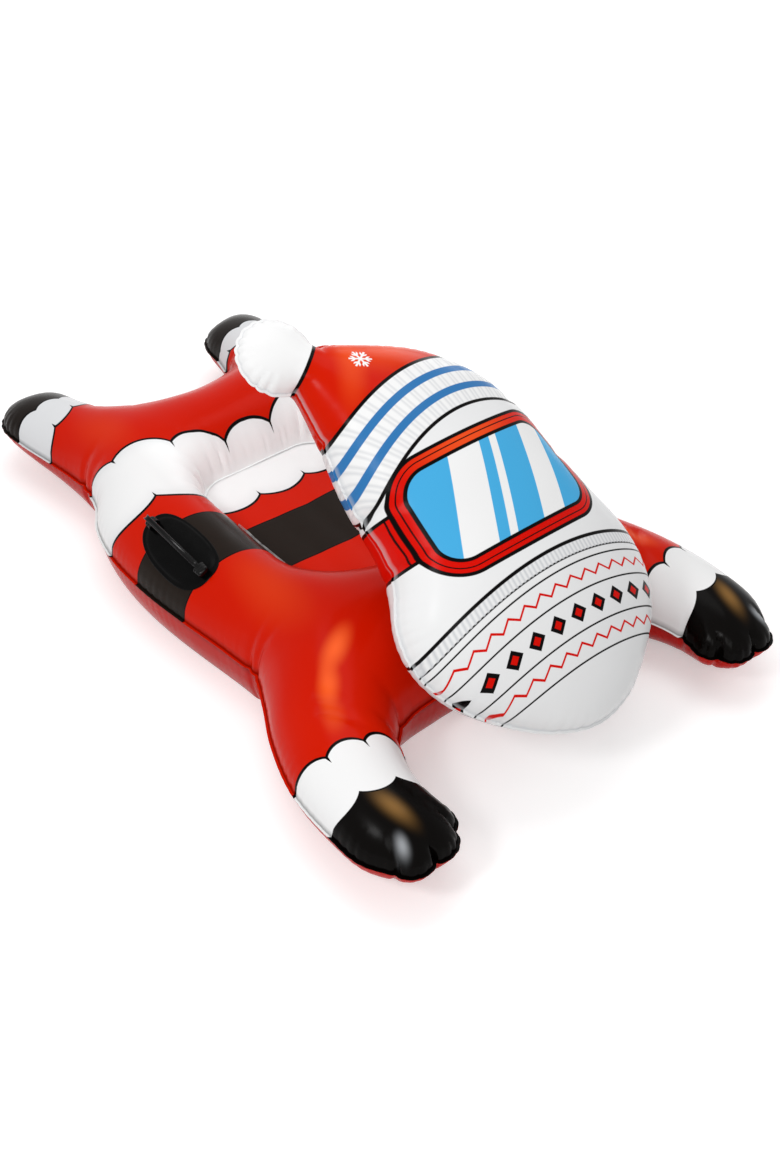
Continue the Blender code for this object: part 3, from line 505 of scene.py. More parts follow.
def thinned(groups):
    """The points of all groups, each left out if it is nearer than its group's gap to one kept before it."""
    cell = max(gap for _, gap in groups)
    around = [(i, j) for i in (-1, 0, 1) for j in (-1, 0, 1)]
    kept, cells = [], {}
    for points, gap in groups:
        for x, y in points.tolist():
            column, row = int(x // cell), int(y // cell)
            near = (kept[k] for i, j in around for k in cells.get((column + i, row + j), ()))
            if gap and any((x - a) ** 2 + (y - b) ** 2 < gap * gap for a, b in near):
                continue
            cells.setdefault((column, row), []).append(len(kept))
            kept.append((x, y))
    return kept


def flat_pattern(rims, welds, holes=()):
    """Triangles over a film cut along the rims. Returns its points, the triangles and which are welded."""
    low, high = rims[0].min(0), rims[0].max(0)
    row_step = OPEN_CELL * math.sqrt(3) / 2
    grid_rows = []
    for row in range(int((high[1] - low[1]) / row_step) + 1):
        count = int((high[0] - low[0]) / OPEN_CELL) + 1
        shift = OPEN_CELL / 2 * (row % 2)
        across = (np.arange(count) - count / 2) * OPEN_CELL + shift + (low[0] + high[0]) / 2
        grid_rows.append(np.stack([across, np.full(count, low[1] + row * row_step)], axis=1))

    def between_welds(points, margin):
        points = points[is_inside(points, welds[0])]
        for weld in list(welds[1:]) + list(holes):
            points = points[~is_inside(points, weld)]
        for weld in welds:
            points = points[nearest_on_loop(points, weld)[0] > margin]
        return points

    groups = [(np.vstack(rims + welds + list(holes)), 0)]
    for reach, wider in zip(ROW_REACHES, ROW_REACHES[1:] + (ROW_REACHES[-1] + OPEN_CELL,)):
        rows = [offset_loop(welds[0], -reach)] + [offset_loop(weld, reach) for weld in welds[1:]]
        gap = max(SEAM_STEP * 3 / 4, (wider - reach) * 3 / 4)
        groups.append((between_welds(np.vstack(rows), reach * EDGE_KEEP_SHARE), gap))
    groups.append((between_welds(np.vstack(grid_rows), ROW_REACHES[-1]), OPEN_CELL * 2 / 3))
    points = thinned(groups)
    edges, start = [], 0
    for loop in rims + welds + list(holes):
        edges += [(start + i, start + (i + 1) % len(loop)) for i in range(len(loop))]
        start += len(loop)
    held = sum(len(loop) for loop in rims + welds)
    found = delaunay_2d_cdt([Vector(point) for point in points], edges, [], 0, CLEARANCE / 100)
    plan = np.array([tuple(point) for point in found[0]])
    triangles = np.array([face for face in found[2] if len(face) == 3])
    fixed = np.array([any(source < held for source in sources) for sources in found[3]])
    centres = plan[triangles].mean(1)
    wanted = is_inside(centres, rims[0])
    for rim in rims[1:] + list(holes):
        wanted &= ~is_inside(centres, rim)
    triangles = triangles[wanted]
    used = np.unique(triangles)
    renumber = np.zeros(len(plan), int)
    renumber[used] = np.arange(len(used))
    return plan[used], renumber[triangles], fixed[used]


def inflated(plan, triangles, fixed, held_rise=0):
    """Height of the film over its seam plane: a membrane under even pressure, which makes tubes round.

    held_rise is the height of each welded point, spread evenly over the film between the welds.
    """
    corners = plan[triangles]
    area = np.abs(np.cross(corners[:, 1] - corners[:, 0], corners[:, 2] - corners[:, 0])) / 2
    first, second, weight = [], [], []
    for k in range(3):
        a, b = corners[:, (k + 1) % 3] - corners[:, k], corners[:, (k + 2) % 3] - corners[:, k]
        first.append(triangles[:, (k + 1) % 3])
        second.append(triangles[:, (k + 2) % 3])
        weight.append((a * b).sum(1) / (4 * area))
    first, second, weight = np.concatenate(first), np.concatenate(second), np.concatenate(weight)
    count = len(plan)
    diagonal = np.bincount(first, weight, count) + np.bincount(second, weight, count)
    diagonal = np.where(diagonal > 0, diagonal, 1)
    load = np.bincount(triangles.ravel(), np.repeat(area / 3, 3), count)
    free = ~fixed

    def stiffness(values):
        return diagonal * values - np.bincount(first, weight * values[second], count) \
            - np.bincount(second, weight * values[first], count)

    def solved(target, held):
        values = np.where(fixed, held, 0.0)
        rest = np.where(free, target - stiffness(values), 0)
        step = rest / diagonal
        size = rest @ step
        limit = size * SOLVER_LEAST
        for _ in range(SOLVER_STEPS):
            if size <= limit:
                break
            pushed = np.where(free, stiffness(step), 0)
            amount = size / (step @ pushed)
            values = values + amount * step
            rest = rest - amount * pushed
            scaled = rest / diagonal
            new_size = rest @ scaled
            step = scaled + step * new_size / size
            size = new_size
        return values

    pressure = solved(load, np.zeros(count))
    rise = solved(np.zeros(count), held_rise) if np.any(held_rise) else np.zeros(count)
    return np.sqrt(2 * np.maximum(pressure, 0)), rise


def point_normals(points, triangles):
    corners = points[triangles]
    facing = np.cross(corners[:, 1] - corners[:, 0], corners[:, 2] - corners[:, 0])
    normals = np.zeros_like(points)
    for k in range(3):
        np.add.at(normals, triangles[:, k], facing)
    return normals / np.maximum(np.linalg.norm(normals, axis=1), SOLVER_LEAST)[:, None]


# Folds in the films


def seam_strength(loop, along):
    """How strongly a weld puckers the film: most where its outline turns outwards sharply."""
    ahead, lengths, starts = loop_steps(loop)
    heading = np.unwrap(np.arctan2(ahead[:, 1], ahead[:, 0]))
    total = lengths.sum()
    places = np.concatenate([starts + lap * total for lap in (-1, 0, 1)])
    turned = np.concatenate([heading + lap * 2 * math.pi for lap in (-1, 0, 1)])
    behind, ahead = (np.interp(along + reach, places, turned) for reach in (-TURN_REACH, TURN_REACH))
    bend = (ahead - behind) / (2 * TURN_REACH)
    return np.clip(FOLD_LEAST + bend * FOLD_BEND_RADIUS, FOLD_LEAST, FOLD_MOST), total


def swayed(turn, seed, middle, swing, fast, slow, shift):
    """A number that swings round its middle along a weld."""
    return middle + swing * np.sin(fast * turn + seed) * np.sin(slow * turn + shift * seed)


def seam_folds(plan, loop, spacing, reach, height, seed):
    """Height of the puckers that run in from a weld at each plan point, and the way out of the loop there."""
    distance, along = nearest_on_loop(plan, loop)
    strength, total = seam_strength(loop, along)
    turn = 2 * math.pi * along / total
    phase = turn * round(total / spacing)
    for size, rate, shift in FOLD_SWAYS:
        phase = phase + size * np.sin(rate * turn + shift * seed)
    pillow = np.abs(np.sin(phase / 2)) ** FOLD_SHARPNESS - FOLD_MEAN
    length = reach * swayed(turn, seed, *FOLD_REACH_SWAY)
    level = swayed(turn, seed, *FOLD_LEVEL_SWAY)
    folds = height * strength * level * pillow * np.exp(-distance / length)
    places = np.linspace(0, total, len(loop), endpoint=False)
    outward = loop_normals(loop)
    outward = np.stack([np.interp(along, places, outward[:, k], period=total) for k in (0, 1)], axis=1)
    return folds, outward, distance


def creased(plan, creases, scale):
    """Depth of drawn creases: each runs from its first point and fades out at its second."""
    depth = np.zeros(len(plan))
    for start, end, deep, width in creases:
        start, end = np.array(start) * scale, np.array(end) * scale
        along = end - start
        share = np.clip((plan - start) @ along / (along @ along), 0, 1)
        away = np.linalg.norm(plan - start - share[:, None] * along, axis=1)
        depth -= deep * (1 - share) ** CREASE_FADE * np.exp(-(away / width) ** 2)
    return depth


def uneven(points, seed):
    """A slow, shallow waviness of blown-up film, from -1 to 1."""
    x, y, z = points.T / WAVE_LENGTH
    waves = 0
    for size, *pair in WAVES:
        for a, b, c, shift in pair:
            size = size * np.sin(a * x + b * y + c * z + shift * seed)
        waves = waves + size
    return waves / sum(size for size, *_ in WAVES)


def film_shell(points, triangles, start=0, thickness=FILM):
    """A film's solid, between the given surface moved out by start and that surface moved out further."""
    normals = point_normals(points, triangles)
    count = len(points)
    points = points + normals * start
    vertices = np.vstack([points, points + normals * np.reshape(thickness, (-1, 1))])
    faces = [tuple(v + count for v in triangle) for triangle in triangles.tolist()]
    faces += [tuple(triangle[::-1]) for triangle in triangles.tolist()]
    edges = {(t[k], t[(k + 1) % 3]) for t in triangles.tolist() for k in range(3)}
    for a, b in sorted(edges):
        if (b, a) not in edges:
            faces.append((b + count, a + count, a, b))
    return vertices, faces


# Films


def placed(name, data):
    made = bpy.data.objects.new(name, data)
    bpy.context.scene.collection.objects.link(made)
    return made


def add_object(name, vertices, faces, finish, body, *nodes):
    """A smooth mesh piece that rides on a body and stands for the named frame nodes."""
    mesh = bpy.data.meshes.new(name)
    mesh.from_pydata([tuple(map(float, vertex)) for vertex in vertices], [], faces)
    mesh.shade_smooth()
    mesh.set_sharp_from_angle(angle=SHARP_ANGLE)
    mesh.materials.append(finish)
    made = placed(name, mesh)
    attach(made, body)
    if nodes:
        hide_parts(*nodes)
    return made


def store(piece, name, values):
    """Stores a value for each point of a film's pattern, on both faces of its solid."""
    made = piece.data.attributes.new(name, 'FLOAT', 'POINT')
    made.data.foreach_set("value", np.concatenate([values, values]).astype(np.float32))


def mark_weld(piece, plan, seam):
    """Stores how far each point lies inside the seam, negative on the free edge past it."""
    store(piece, "weld_reach", nearest_on_loop(plan, seam)[0] * np.where(is_inside(plan, seam), 1, -1))


def seated(plan, heights, middle, level):
    """Flattens the film round a valve at the level that the frame gives, with its pressed weld ring."""
    reach = np.linalg.norm(plan - middle, axis=1)
    share = np.clip((reach - VALVE_SEAT_RADIUS) / VALVE_SEAT_BLEND, 0, 1)
    share = share * share * (3 - 2 * share)
    ring = VALVE_RING_HEIGHT * np.exp(-((reach - VALVE_RING_RADIUS) / VALVE_RING_WIDTH) ** 2)
    return level * (1 - share) + heights * share + ring, share


def folded(plan, triangles, heights, seam, depths, calm):
    """The film in space, with its puckers and creases pushed along it and its edge drawn in with them."""
    points = np.column_stack([plan, heights])
    folds, outward, distance = depths
    normals = point_normals(points, triangles)
    inner = np.where(is_inside(plan, seam), np.clip(distance / EDGE_TURN, 0, 1), 0)[:, None]
    sideways = np.column_stack([outward, np.zeros(len(plan))])
    return points + (normals * inner + sideways * (1 - inner)) * (folds * calm)[:, None]


def hull_creases(plan):
    """The depth of the hull's creases, the same on both sides."""
    half = np.column_stack([np.abs(plan[:, 0]), plan[:, 1]])
    return creased(half, HULL_CREASE_SHARES, (HALF_WIDTH, HALF_LENGTH))


def film_waves(plan, heights, puff, seed):
    return FILM_WAVE * uneven(np.column_stack([plan, heights]), seed) * np.clip(puff / SEAM_HEIGHT, 0, 1)


def valve_hole(middle):
    return circle_run(middle, VALVE_HOLE_RADIUS, 0, 2 * math.pi)[:-1]


def head_place():
    """The head's frame: its origin in the seam plane, tilted back over the neck's weld patch."""
    neck, _ = neck_plane()
    drop = NECK_DEPTH + FILM + CLEARANCE + NECK_PATCH_THICKNESS + CLEARANCE
    shift = Matrix.Translation((0, HEAD_ADVANCE, drop))
    return Matrix.Translation(neck) @ Matrix.Rotation(HEAD_TILT, 4, 'X') @ shift


def neck_plane():
    """A point on the head's weld patch and the way out of it."""
    low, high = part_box("neck_patch")
    normal = Vector((0, -math.sin(HEAD_TILT), math.cos(HEAD_TILT)))
    return (low + high) / 2 - normal * (CLEARANCE + NECK_PATCH_THICKNESS / 2), normal


def valve_place(label, to_local, up):
    """The middle of a valve and the level of the film's inner face under it, from its body in the frame."""
    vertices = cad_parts[f"{label}_valve_body"].data.vertices
    points = np.array([to_local @ vertex.co for vertex in vertices])
    low, high = points.min(0), points.max(0)
    rim = high[2] if up > 0 else -low[2]
    return (low[:2] + high[:2]) / 2, rim - VALVE_RISE - FILM


def build_hull(finishes):
    """The hull's films, its deck and the clear strips. Returns the top film's inner face."""
    seam = hull_outline()
    deck = deck_outline()
    lip = offset_loop(seam, LIP_WIDTH)
    film = build_hull_top(seam, lip, deck, finishes["hull"])
    build_hull_bottom(seam, lip, finishes["floor"])
    build_deck(deck, finishes["deck"])
    build_strips(finishes["strip"])
    return film


def build_hull_top(seam, lip, deck, finish):
    """The top sheet: flat at its valve, curled at the deck and pressed flat under the neck's patch."""
    deck_lip = offset_loop(deck, -DECK_LIP_WIDTH)
    valve, level = valve_place("hull", Matrix(), 1)
    plan, triangles, fixed = flat_pattern([lip, deck_lip], [seam, deck], [valve_hole(valve)])
    deck_reach = nearest_on_loop(plan, deck)[0]
    at_deck = fixed & (deck_reach < DECK_LIP_WIDTH + CLEARANCE)
    puff, rise = inflated(plan, triangles, fixed, np.where(at_deck, DECK_HEIGHT - SEAM_HEIGHT, 0))
    heights = SEAM_HEIGHT + CLEARANCE / 2 + rise + puff * HULL_PUFF_SHARE
    heights, calm = seated(plan, heights, valve, level)
    folds, outward, distance = seam_folds(plan, seam, *HULL_FOLDS)
    inner_folds, _, _ = seam_folds(plan, deck, *DECK_FOLDS)
    rear = np.clip((plan[:, 1] - DECK_MIDDLE) / DECK_LENGTH, 0, 1)
    folds += inner_folds * (DECK_FOLD_LEVELS[0] + DECK_FOLD_LEVELS[1] * rear)
    folds += hull_creases(plan)
    folds += film_waves(plan, heights, puff, WAVE_SEEDS["hull"])
    folds = np.where(at_deck, 0, folds)
    curl = at_deck & (deck_reach > DECK_LIP_WIDTH / 2)
    sway = uneven(np.column_stack([plan, heights]), WAVE_SEEDS["curl"])
    heights += np.where(curl, DECK_LIP_CURL * (1 + sway), 0)
    points = folded(plan, triangles, heights, seam, (folds, outward, distance), calm)
    neck, normal = neck_plane()
    level = neck.dot(normal) - FILM
    at_neck = (np.abs(plan[:, 0]) < NECK_PATCH_LENGTH * 3 / 4) & (plan[:, 1] < DECK_MIDDLE)
    over = np.where(at_neck, np.maximum(points @ np.array(normal) - level, 0), 0)
    points = points - over[:, None] * np.array(normal)
    top = add_object("hull_top", *film_shell(points, triangles), finish, "sled", "hull_top_sheet")
    mark_weld(top, plan, seam)
    # The curled lip at the deck's weld carries a painted glint
    store(top, "glint_edge", curl)
    return BVHTree.FromPolygons([Vector(point) for point in points], triangles.tolist())


def build_hull_bottom(seam, lip, finish):
    """The bottom sheet, which stands flat on the ground."""
    plan, triangles, fixed = flat_pattern([lip], [seam])
    puff, _ = inflated(plan, triangles, fixed)
    triangles = triangles[:, ::-1]
    heights = SEAM_HEIGHT - CLEARANCE / 2 - puff * HULL_PUFF_SHARE
    folds, outward, distance = seam_folds(plan, seam, *HULL_FOLDS)
    folds *= 1 - (1 - FLOOR_FOLD_SHARE) * np.clip(distance / EDGE_TURN, 0, 1)
    folds += hull_creases(plan)
    points = folded(plan, triangles, heights, seam, (folds, outward, distance), 1)
    points[:, 2] = np.maximum(points[:, 2], FILM)
    bottom = add_object("hull_bottom", *film_shell(points, triangles), finish, "sled", "hull_bottom_sheet")
    mark_weld(bottom, plan, seam)


def build_deck(deck, finish):
    """The deck panel, which swells a little between its webs."""
    plan, triangles, fixed = flat_pattern([deck], [deck])
    puff, _ = inflated(plan, triangles, fixed)
    webs = np.abs(np.sin(plan[:, 0] / DECK_WEB_SPACING * math.pi))
    heights = DECK_HEIGHT - CLEARANCE / 2 - FILM
    folds, _, distance = seam_folds(plan, deck, *DECK_FOLDS)
    swell = DECK_SWELL * (DECK_SWELL_SHARES[0] + DECK_SWELL_SHARES[1] * webs)
    swell = swell * np.clip(puff / SEAM_HEIGHT, 0, 1)
    heights = heights + swell + np.abs(folds) * DECK_FOLD_SHARE * np.clip(distance / EDGE_TURN, 0, 1)
    points = np.column_stack([plan, heights])
    panel = add_object("deck", *film_shell(points, triangles), finish, "sled", "deck_panel")
    mark_weld(panel, plan, deck)


def build_head(finishes, place):
    """The pillow's two sheets; the back one holds the valve and is flat against the neck's patch."""
    seam = head_outline()
    lip = offset_loop(seam, LIP_WIDTH)
    valve, level = valve_place("head", place.inverted(), -1)
    for part, holes in (("front", []), ("back", [valve_hole(valve)])):
        plan, triangles, fixed = flat_pattern([lip], [seam], holes)
        puff, _ = inflated(plan, triangles, fixed)
        folds, outward, distance = seam_folds(plan, seam, *HEAD_FOLDS)
        folds += creased(plan, HEAD_CREASE_SHARES, (HEAD_HALF_WIDTH, HEAD_CHIN_REACH))
        folds += film_waves(plan, puff, puff, WAVE_SEEDS["head"])
        heights, calm = CLEARANCE / 2 + puff * HEAD_FRONT_PUFF_SHARE, 1
        if part == "back":
            depth, calm = seated(plan, CLEARANCE / 2 + puff * HEAD_BACK_PUFF_SHARE, valve, level)
            heights = -depth
            triangles = triangles[:, ::-1]
        points = folded(plan, triangles, heights, seam, (folds, outward, distance), calm)
        if part == "back":
            points[:, 2] = np.maximum(points[:, 2], -NECK_DEPTH)
        vertices, faces = film_shell(points, triangles)
        vertices = [place @ Vector(vertex) for vertex in vertices]
        name = f"head_{part}"
        sheet = add_object(name, vertices, faces, finishes[name], "sled", f"head_{part}_sheet")
        mark_weld(sheet, plan, seam)


def build_strips(finish):
    """Clear strips welded over the deck's straight sides, which stand up a little at their free edge."""
    for label, side in SIDES:
        across = np.linspace(0, STRIP_WIDTH, STRIP_ROWS)
        along = np.arange(STRIP_START, STRIP_END, SEAM_STEP)
        u, v = (values.ravel() for values in np.meshgrid(across, along))
        share = u / STRIP_WIDTH
        sway = uneven(np.column_stack([u, v * 2, v]), WAVE_SEEDS["strip"])
        lift = STRIP_LIFT * share ** 2 * (1 + STRIP_WAVE_SHARE * sway)
        heights = DECK_HEIGHT + FILM + CLEARANCE + STRIP_GAP + lift
        points = np.column_stack([side * (DECK_WIDTH / 2 - STRIP_INSET - u), v, heights])
        first = (np.arange(len(along) - 1)[:, None] * STRIP_ROWS + np.arange(STRIP_ROWS - 1)).ravel()
        triangles = np.vstack([np.column_stack([first, first + 1, first + 1 + STRIP_ROWS]),
                               np.column_stack([first, first + 1 + STRIP_ROWS, first + STRIP_ROWS])])
        triangles = triangles if side < 0 else triangles[:, ::-1]
        piece = add_object(f"deck_strip_{label}", *film_shell(points, triangles), finish, "sled")
        # Both edges of the strip show as painted glints
        store(piece, "glint_edge", np.maximum(share, (share < STRIP_WELD_SHARE) * STRIP_WELD_LEVEL))


# Handles


def handle_place(label):
    """The grip's frame: its origin lies between the pins, Y runs to the rear pin and Z out of the film."""
    points = np.array([vertex.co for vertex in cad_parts[f"grip_{label}"].data.vertices])
    ends = []
    for word in ("front", "rear"):
        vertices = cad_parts[f"grip_socket_{label}_{word}"].data.vertices
        ends.append(np.mean([vertex.co for vertex in vertices], axis=0))
    along = (ends[1] - ends[0]) / np.linalg.norm(ends[1] - ends[0])
    reach = points @ along
    low, high = (points[np.abs(reach - end) < CLEARANCE].mean(0) for end in (reach.min(), reach.max()))
    along = (high - low) / np.linalg.norm(high - low)
    out = points.mean(0) - (low + high) / 2
    out -= along * (out @ along)
    out /= np.linalg.norm(out)
    place = Matrix((np.cross(along, out), along, out)).transposed().to_4x4()
    place.translation = (low + high) / 2
    return place


def rounded_ring(sides, roundness):
    """A unit circle, and the same ring squared off towards its corners."""
    turns = np.arange(sides) * 2 * math.pi / sides
    ring = np.column_stack([np.cos(turns), np.sin(turns)])
    return ring, np.sign(ring) * np.abs(ring) ** (2 / roundness)


def build_pad(label, side, film, finish):
    """An oval pad that lies on the film, flat at its welded rim and fuller inside it."""
    half = np.array([PAD_WIDTH, PAD_LENGTH]) / 2
    _, oval = rounded_ring(PAD_STEPS, PAD_ROUNDNESS)
    plan = np.vstack([np.zeros((1, 2)), *[oval * share for share, _ in PAD_PROFILE]]) * half
    plan += (side * HANDLE_REACH, HANDLE_PLACE)
    rises = np.concatenate([[PAD_PROFILE[0][1]], np.repeat([rise for _, rise in PAD_PROFILE], PAD_STEPS)])
    triangles = [(0, 1 + k, 1 + (k + 1) % PAD_STEPS) for k in range(PAD_STEPS)]
    for ring in range(len(PAD_PROFILE) - 1):
        for k in range(PAD_STEPS):
            a, b = (1 + ring * PAD_STEPS + (k + turn) % PAD_STEPS for turn in (0, 1))
            triangles += [(a, a + PAD_STEPS, b + PAD_STEPS), (a, b + PAD_STEPS, b)]
    down = Vector((0, 0, -1))
    points = np.array([film.ray_cast(Vector((x, y, HULL_LENGTH)), down)[0] for x, y in plan])
    vertices, faces = film_shell(points, np.array(triangles), FILM + CLEARANCE, rises)
    add_object(f"pad_{label}", vertices, faces, finish, "sled", f"handle_pad_{label}")


def lofted(rings):
    """A closed body through rings of equally many points, capped at both ends."""
    count = len(rings[0])
    vertices = [point for ring in rings for point in ring]
    faces = [tuple(range(count)), tuple(range(len(vertices) - 1, len(vertices) - 1 - count, -1))]
    for first in range(0, len(vertices) - count, count):
        for k in range(count):
            a, b = first + k, first + (k + 1) % count
            faces.append((a, a + count, b + count, b))
    return vertices, faces


def build_grip(label, place, finish):
    """The grip: a flat strap with raised edges that arches over the pad and ends in two round pins."""
    run = smooth_run(np.array(GRIP_RUN_SHARES) * (GRIP_SPAN / 2, GRIP_RISE))
    reach = GRIP_SPAN / 2 + GRIP_PIN
    path = np.array([(-reach, 0), *stepped(run, GRIP_STEPS), run[-1], (reach, 0)])
    ways = np.gradient(path, axis=0)
    ways /= np.linalg.norm(ways, axis=1)[:, None]
    half = np.array(STRAP_HALF_PROFILE)
    profile = np.vstack([half, mirrored(half)])
    pin = profile / np.linalg.norm(profile, axis=1)[:, None] * PIN_RADIUS
    rings = []
    for (y, z), (along, out) in zip(path, ways):
        share = np.clip((abs(y) - GRIP_SPAN / 2 * PIN_START_SHARE) / (GRIP_SPAN / 2 * PIN_BLEND_SHARE), 0, 1)
        section = profile * (1 - share) + pin * share
        rings.append([place @ Vector((x, y - out * rise, z + along * rise)) for x, rise in section])
    add_object(f"strap_{label}", *lofted(rings), finish, f"grip_{label}", f"grip_{label}")


def build_socket(label, word, end, place, finish):
    """A moulded boss with the bore that a pin turns in, rounded off at its far end."""
    ring, block = rounded_ring(SOCKET_SIDES, SOCKET_ROUNDNESS)
    middle = (0, SOCKET_HEIGHT / 2 - SOCKET_AXIS_HEIGHT)
    block = block * (SOCKET_WIDTH / 2, SOCKET_HEIGHT / 2) + middle
    bore = ring * (PIN_RADIUS + CLEARANCE * 2)
    sections = [(block * scale + np.multiply(middle, 1 - scale), reach) for reach, scale in SOCKET_PROFILE]
    sections += [(bore, 0), (bore, GRIP_PIN / SOCKET_LENGTH + BORE_REACH_SHARE)]
    rings = []
    for outline, reach in sections:
        y = end * (GRIP_SPAN / 2 + reach * SOCKET_LENGTH)
        rings.append([place @ Vector((x, y, z)) for x, z in outline])
    vertices, faces = lofted(rings)
    faces = faces if end < 0 else [face[::-1] for face in faces]
    node = f"grip_socket_{label}_{word}"
    add_object(f"socket_{label}_{word}", vertices, faces, finish, "sled", node)


def build_handles(film, finishes):
    for label, side in SIDES:
        place = handle_place(label)
        build_pad(label, side, film, finishes["handle"])
        build_grip(label, place, finishes["grip"])
        build_socket(label, "front", -1, place, finishes["grip"])
        build_socket(label, "rear", 1, place, finishes["grip"])


# Node trees


def feed(slot, value):
    """Sets an input to a plain value, or links it to a field or a socket."""
    value = value.socket if isinstance(value, Field) else value
    if isinstance(value, bpy.types.NodeSocket):
        slot.id_data.links.new(value, slot)
    else:
        slot.default_value = value


class Field:
    """A number that varies over a surface: a socket in a material's node tree."""

    def __init__(self, socket):
        self.socket = socket

    def node(self, operation, *others, clamp=False):
        made = self.socket.id_data.nodes.new('ShaderNodeMath')
        made.operation = operation
        made.use_clamp = clamp
        for slot, value in zip(made.inputs, (self, *others)):
            feed(slot, value)
        return Field(made.outputs[0])

    def __add__(self, other):
        return self.node('ADD', other)

    def __sub__(self, other):
        return self.node('SUBTRACT', other)

    def __rsub__(self, other):
        return -self + other

    def __mul__(self, other):
        return self.node('MULTIPLY', other)

    def __neg__(self):
        return self * -1

    def abs(self):
        return self.node('ABSOLUTE')

    def sqrt(self):
        return self.node('SQRT')

    def low(self, other):
        return self.node('MINIMUM', other)

    def high(self, other):
        return self.node('MAXIMUM', other)

    def zigzag(self, period):
        """0 at each whole period, half a period midway."""
        return self.node('PINGPONG', period / 2)

    def ramp(self, slope, shift):
        """A straight rise, held between 0 and 1."""
        return self.node('MULTIPLY_ADD', slope, shift, clamp=True)

    def below(self, soft=PRINT_SOFT):
        """1 where the number is negative, 0 where it is positive, with a soft step between."""
        return self.ramp(-1 / soft, 1 / 2)

    def near(self, width, soft=PRINT_SOFT):
        """1 where the number lies within half the width of zero."""
        return (self.abs() - width / 2).below(soft)


def tone(red, green, blue):
    """A colour as written on a screen, from 0 to 255, in the renderer's even light."""
    return (*Color((red / 255, green / 255, blue / 255)).from_srgb_to_scene_linear(), 1)


RED = tone(210, 29, 0)
DEEP_RED = tone(188, 9, 0)
# The colour that painted highlights lay over red
HIGHLIGHT_RED = tone(255, 104, 42)
# The bottom sheet's red: a darker copy of the hull's red, painted shade of the underside
UNDERSIDE_SHADE_RED = tone(184, 18, 4)
WHITE = tone(240, 240, 240)
# Painted lift of the white in the shaded hollow, cooled against the red light thrown there
HOLLOW_FILL_WHITE = tone(253, 255, 255)
PALE_GREY = tone(206, 208, 211)
CUFF_GREY = tone(222, 223, 225)
INK = tone(5, 3, 3)
BELT_TONE = tone(33, 25, 20)
GLOVE_TONE = tone(6, 4, 3)
BOOT_TONE = tone(26, 19, 15)
KNIT_BLUE = tone(52, 118, 178)
LENS_BLUE = tone(72, 172, 224)
FRAME_RED = tone(214, 14, 2)
MOULDED_BLACK = tone(3, 3, 3)
CLEAR_VINYL = tone(214, 216, 216)
STUDIO_WHITE = tone(238, 238, 238)

# On the glove, an airbrushed brown sheen of the print and a painted highlight on the knuckle: colour, then
# middle, radii and lean
GLOVE_SHEEN_AND_HIGHLIGHT = [
    (tone(136, 99, 52), ((0.352, -0.607), (0.026, 0.066), -0.22)),
    (tone(158, 161, 165), ((0.375, -0.655), (0.017, 0.028), 0.25))]

# Rows of the neck warmer: level, period, rise, line width and colour; then level, period, size and colour
WARMER_ROWS = [
    (-0.140, 0.030, 0.012, 0.0042, FRAME_RED), (-0.232, 0.030, 0.012, 0.0042, FRAME_RED),
    (-0.120, 0.030, 0.000, 0.0026, INK), (-0.160, 0.030, 0.000, 0.0026, INK),
    (-0.212, 0.030, 0.000, 0.0026, INK), (-0.252, 0.030, 0.000, 0.0026, INK)]
WARMER_DIAMONDS = [(-0.186, 0.040, 0.0150, INK), (-0.186, 0.040, 0.0075, FRAME_RED)]

# Moulded and plain pieces: material, colour, roughness and gloss
MOULDED = {
    "handle": ("handle_black", MOULDED_BLACK, 0.24, 0.04),
    "grip": ("grip_black", MOULDED_BLACK, 0.15, 0.14),
    "valve": ("valve_white", CLEAR_VINYL, 0.34, 0.4),
    "web": ("web_white", PALE_GREY, 0.42, 0.3)}


def plain_material(name, roughness, gloss):
    made = bpy.data.materials.new(name)
    made.use_nodes = True
    shader = made.node_tree.nodes["Principled BSDF"]
    feed(shader.inputs["Roughness"], roughness)
    feed(shader.inputs["Specular IOR Level"], gloss)
    return made, made.node_tree, shader


def coordinates(tree, place=None):
    """The surface's place in metres, in its own frame or in that of a given place, whole and split."""
    vector = tree.nodes.new('ShaderNodeTexCoord').outputs["Object"]
    if place is not None:
        mapping = tree.nodes.new('ShaderNodeMapping')
        mapping.vector_type = 'TEXTURE'
        feed(mapping.inputs["Location"], place.to_translation())
        feed(mapping.inputs["Rotation"], place.to_euler())
        feed(mapping.inputs["Vector"], vector)
        vector = mapping.outputs["Vector"]
    split = tree.nodes.new('ShaderNodeSeparateXYZ')
    feed(split.inputs[0], vector)
    return vector, [Field(socket) for socket in split.outputs]


def noise(vector, scale, detail=2):
    made = vector.id_data.nodes.new('ShaderNodeTexNoise')
    feed(made.inputs["Scale"], scale)
    feed(made.inputs["Detail"], detail)
    feed(made.inputs["Vector"], vector)
    return Field(made.outputs["Fac"])


# The Mix node's sockets for colours
MIX_UNDER, MIX_OVER, MIX_RESULT = 6, 7, 2


def painted(under, colour, mask):
    """The colour laid over what is under it, where the mask is 1."""
    made = mask.socket.id_data.nodes.new('ShaderNodeMix')
    made.data_type = 'RGBA'
    for slot, value in (("Factor", mask), (MIX_UNDER, under), (MIX_OVER, colour)):
        feed(made.inputs[slot], value)
    return made.outputs[MIX_RESULT]


def rough_from(shader, field, low, high):
    """Sets the roughness between low and high by the field."""
    feed(shader.inputs["Roughness"], field * (high - low) + low)


def bumped(shader, height, strength, distance):
    made = shader.id_data.nodes.new('ShaderNodeBump')
    feed(made.inputs["Strength"], strength)
    feed(made.inputs["Distance"], distance)
    feed(made.inputs["Height"], height)
    feed(shader.inputs["Normal"], made.outputs["Normal"])


def stored(tree, name):
    made = tree.nodes.new('ShaderNodeAttribute')
    made.attribute_name = name
    return Field(made.outputs["Fac"])


def glint_edge(tree):
    """1 along a film's cut edge, where its painted glint goes, 0 away from it."""
    return (GLINT_EDGE_SHARE - stored(tree, "glint_edge")).below(GLINT_EDGE_SHARE / 4)
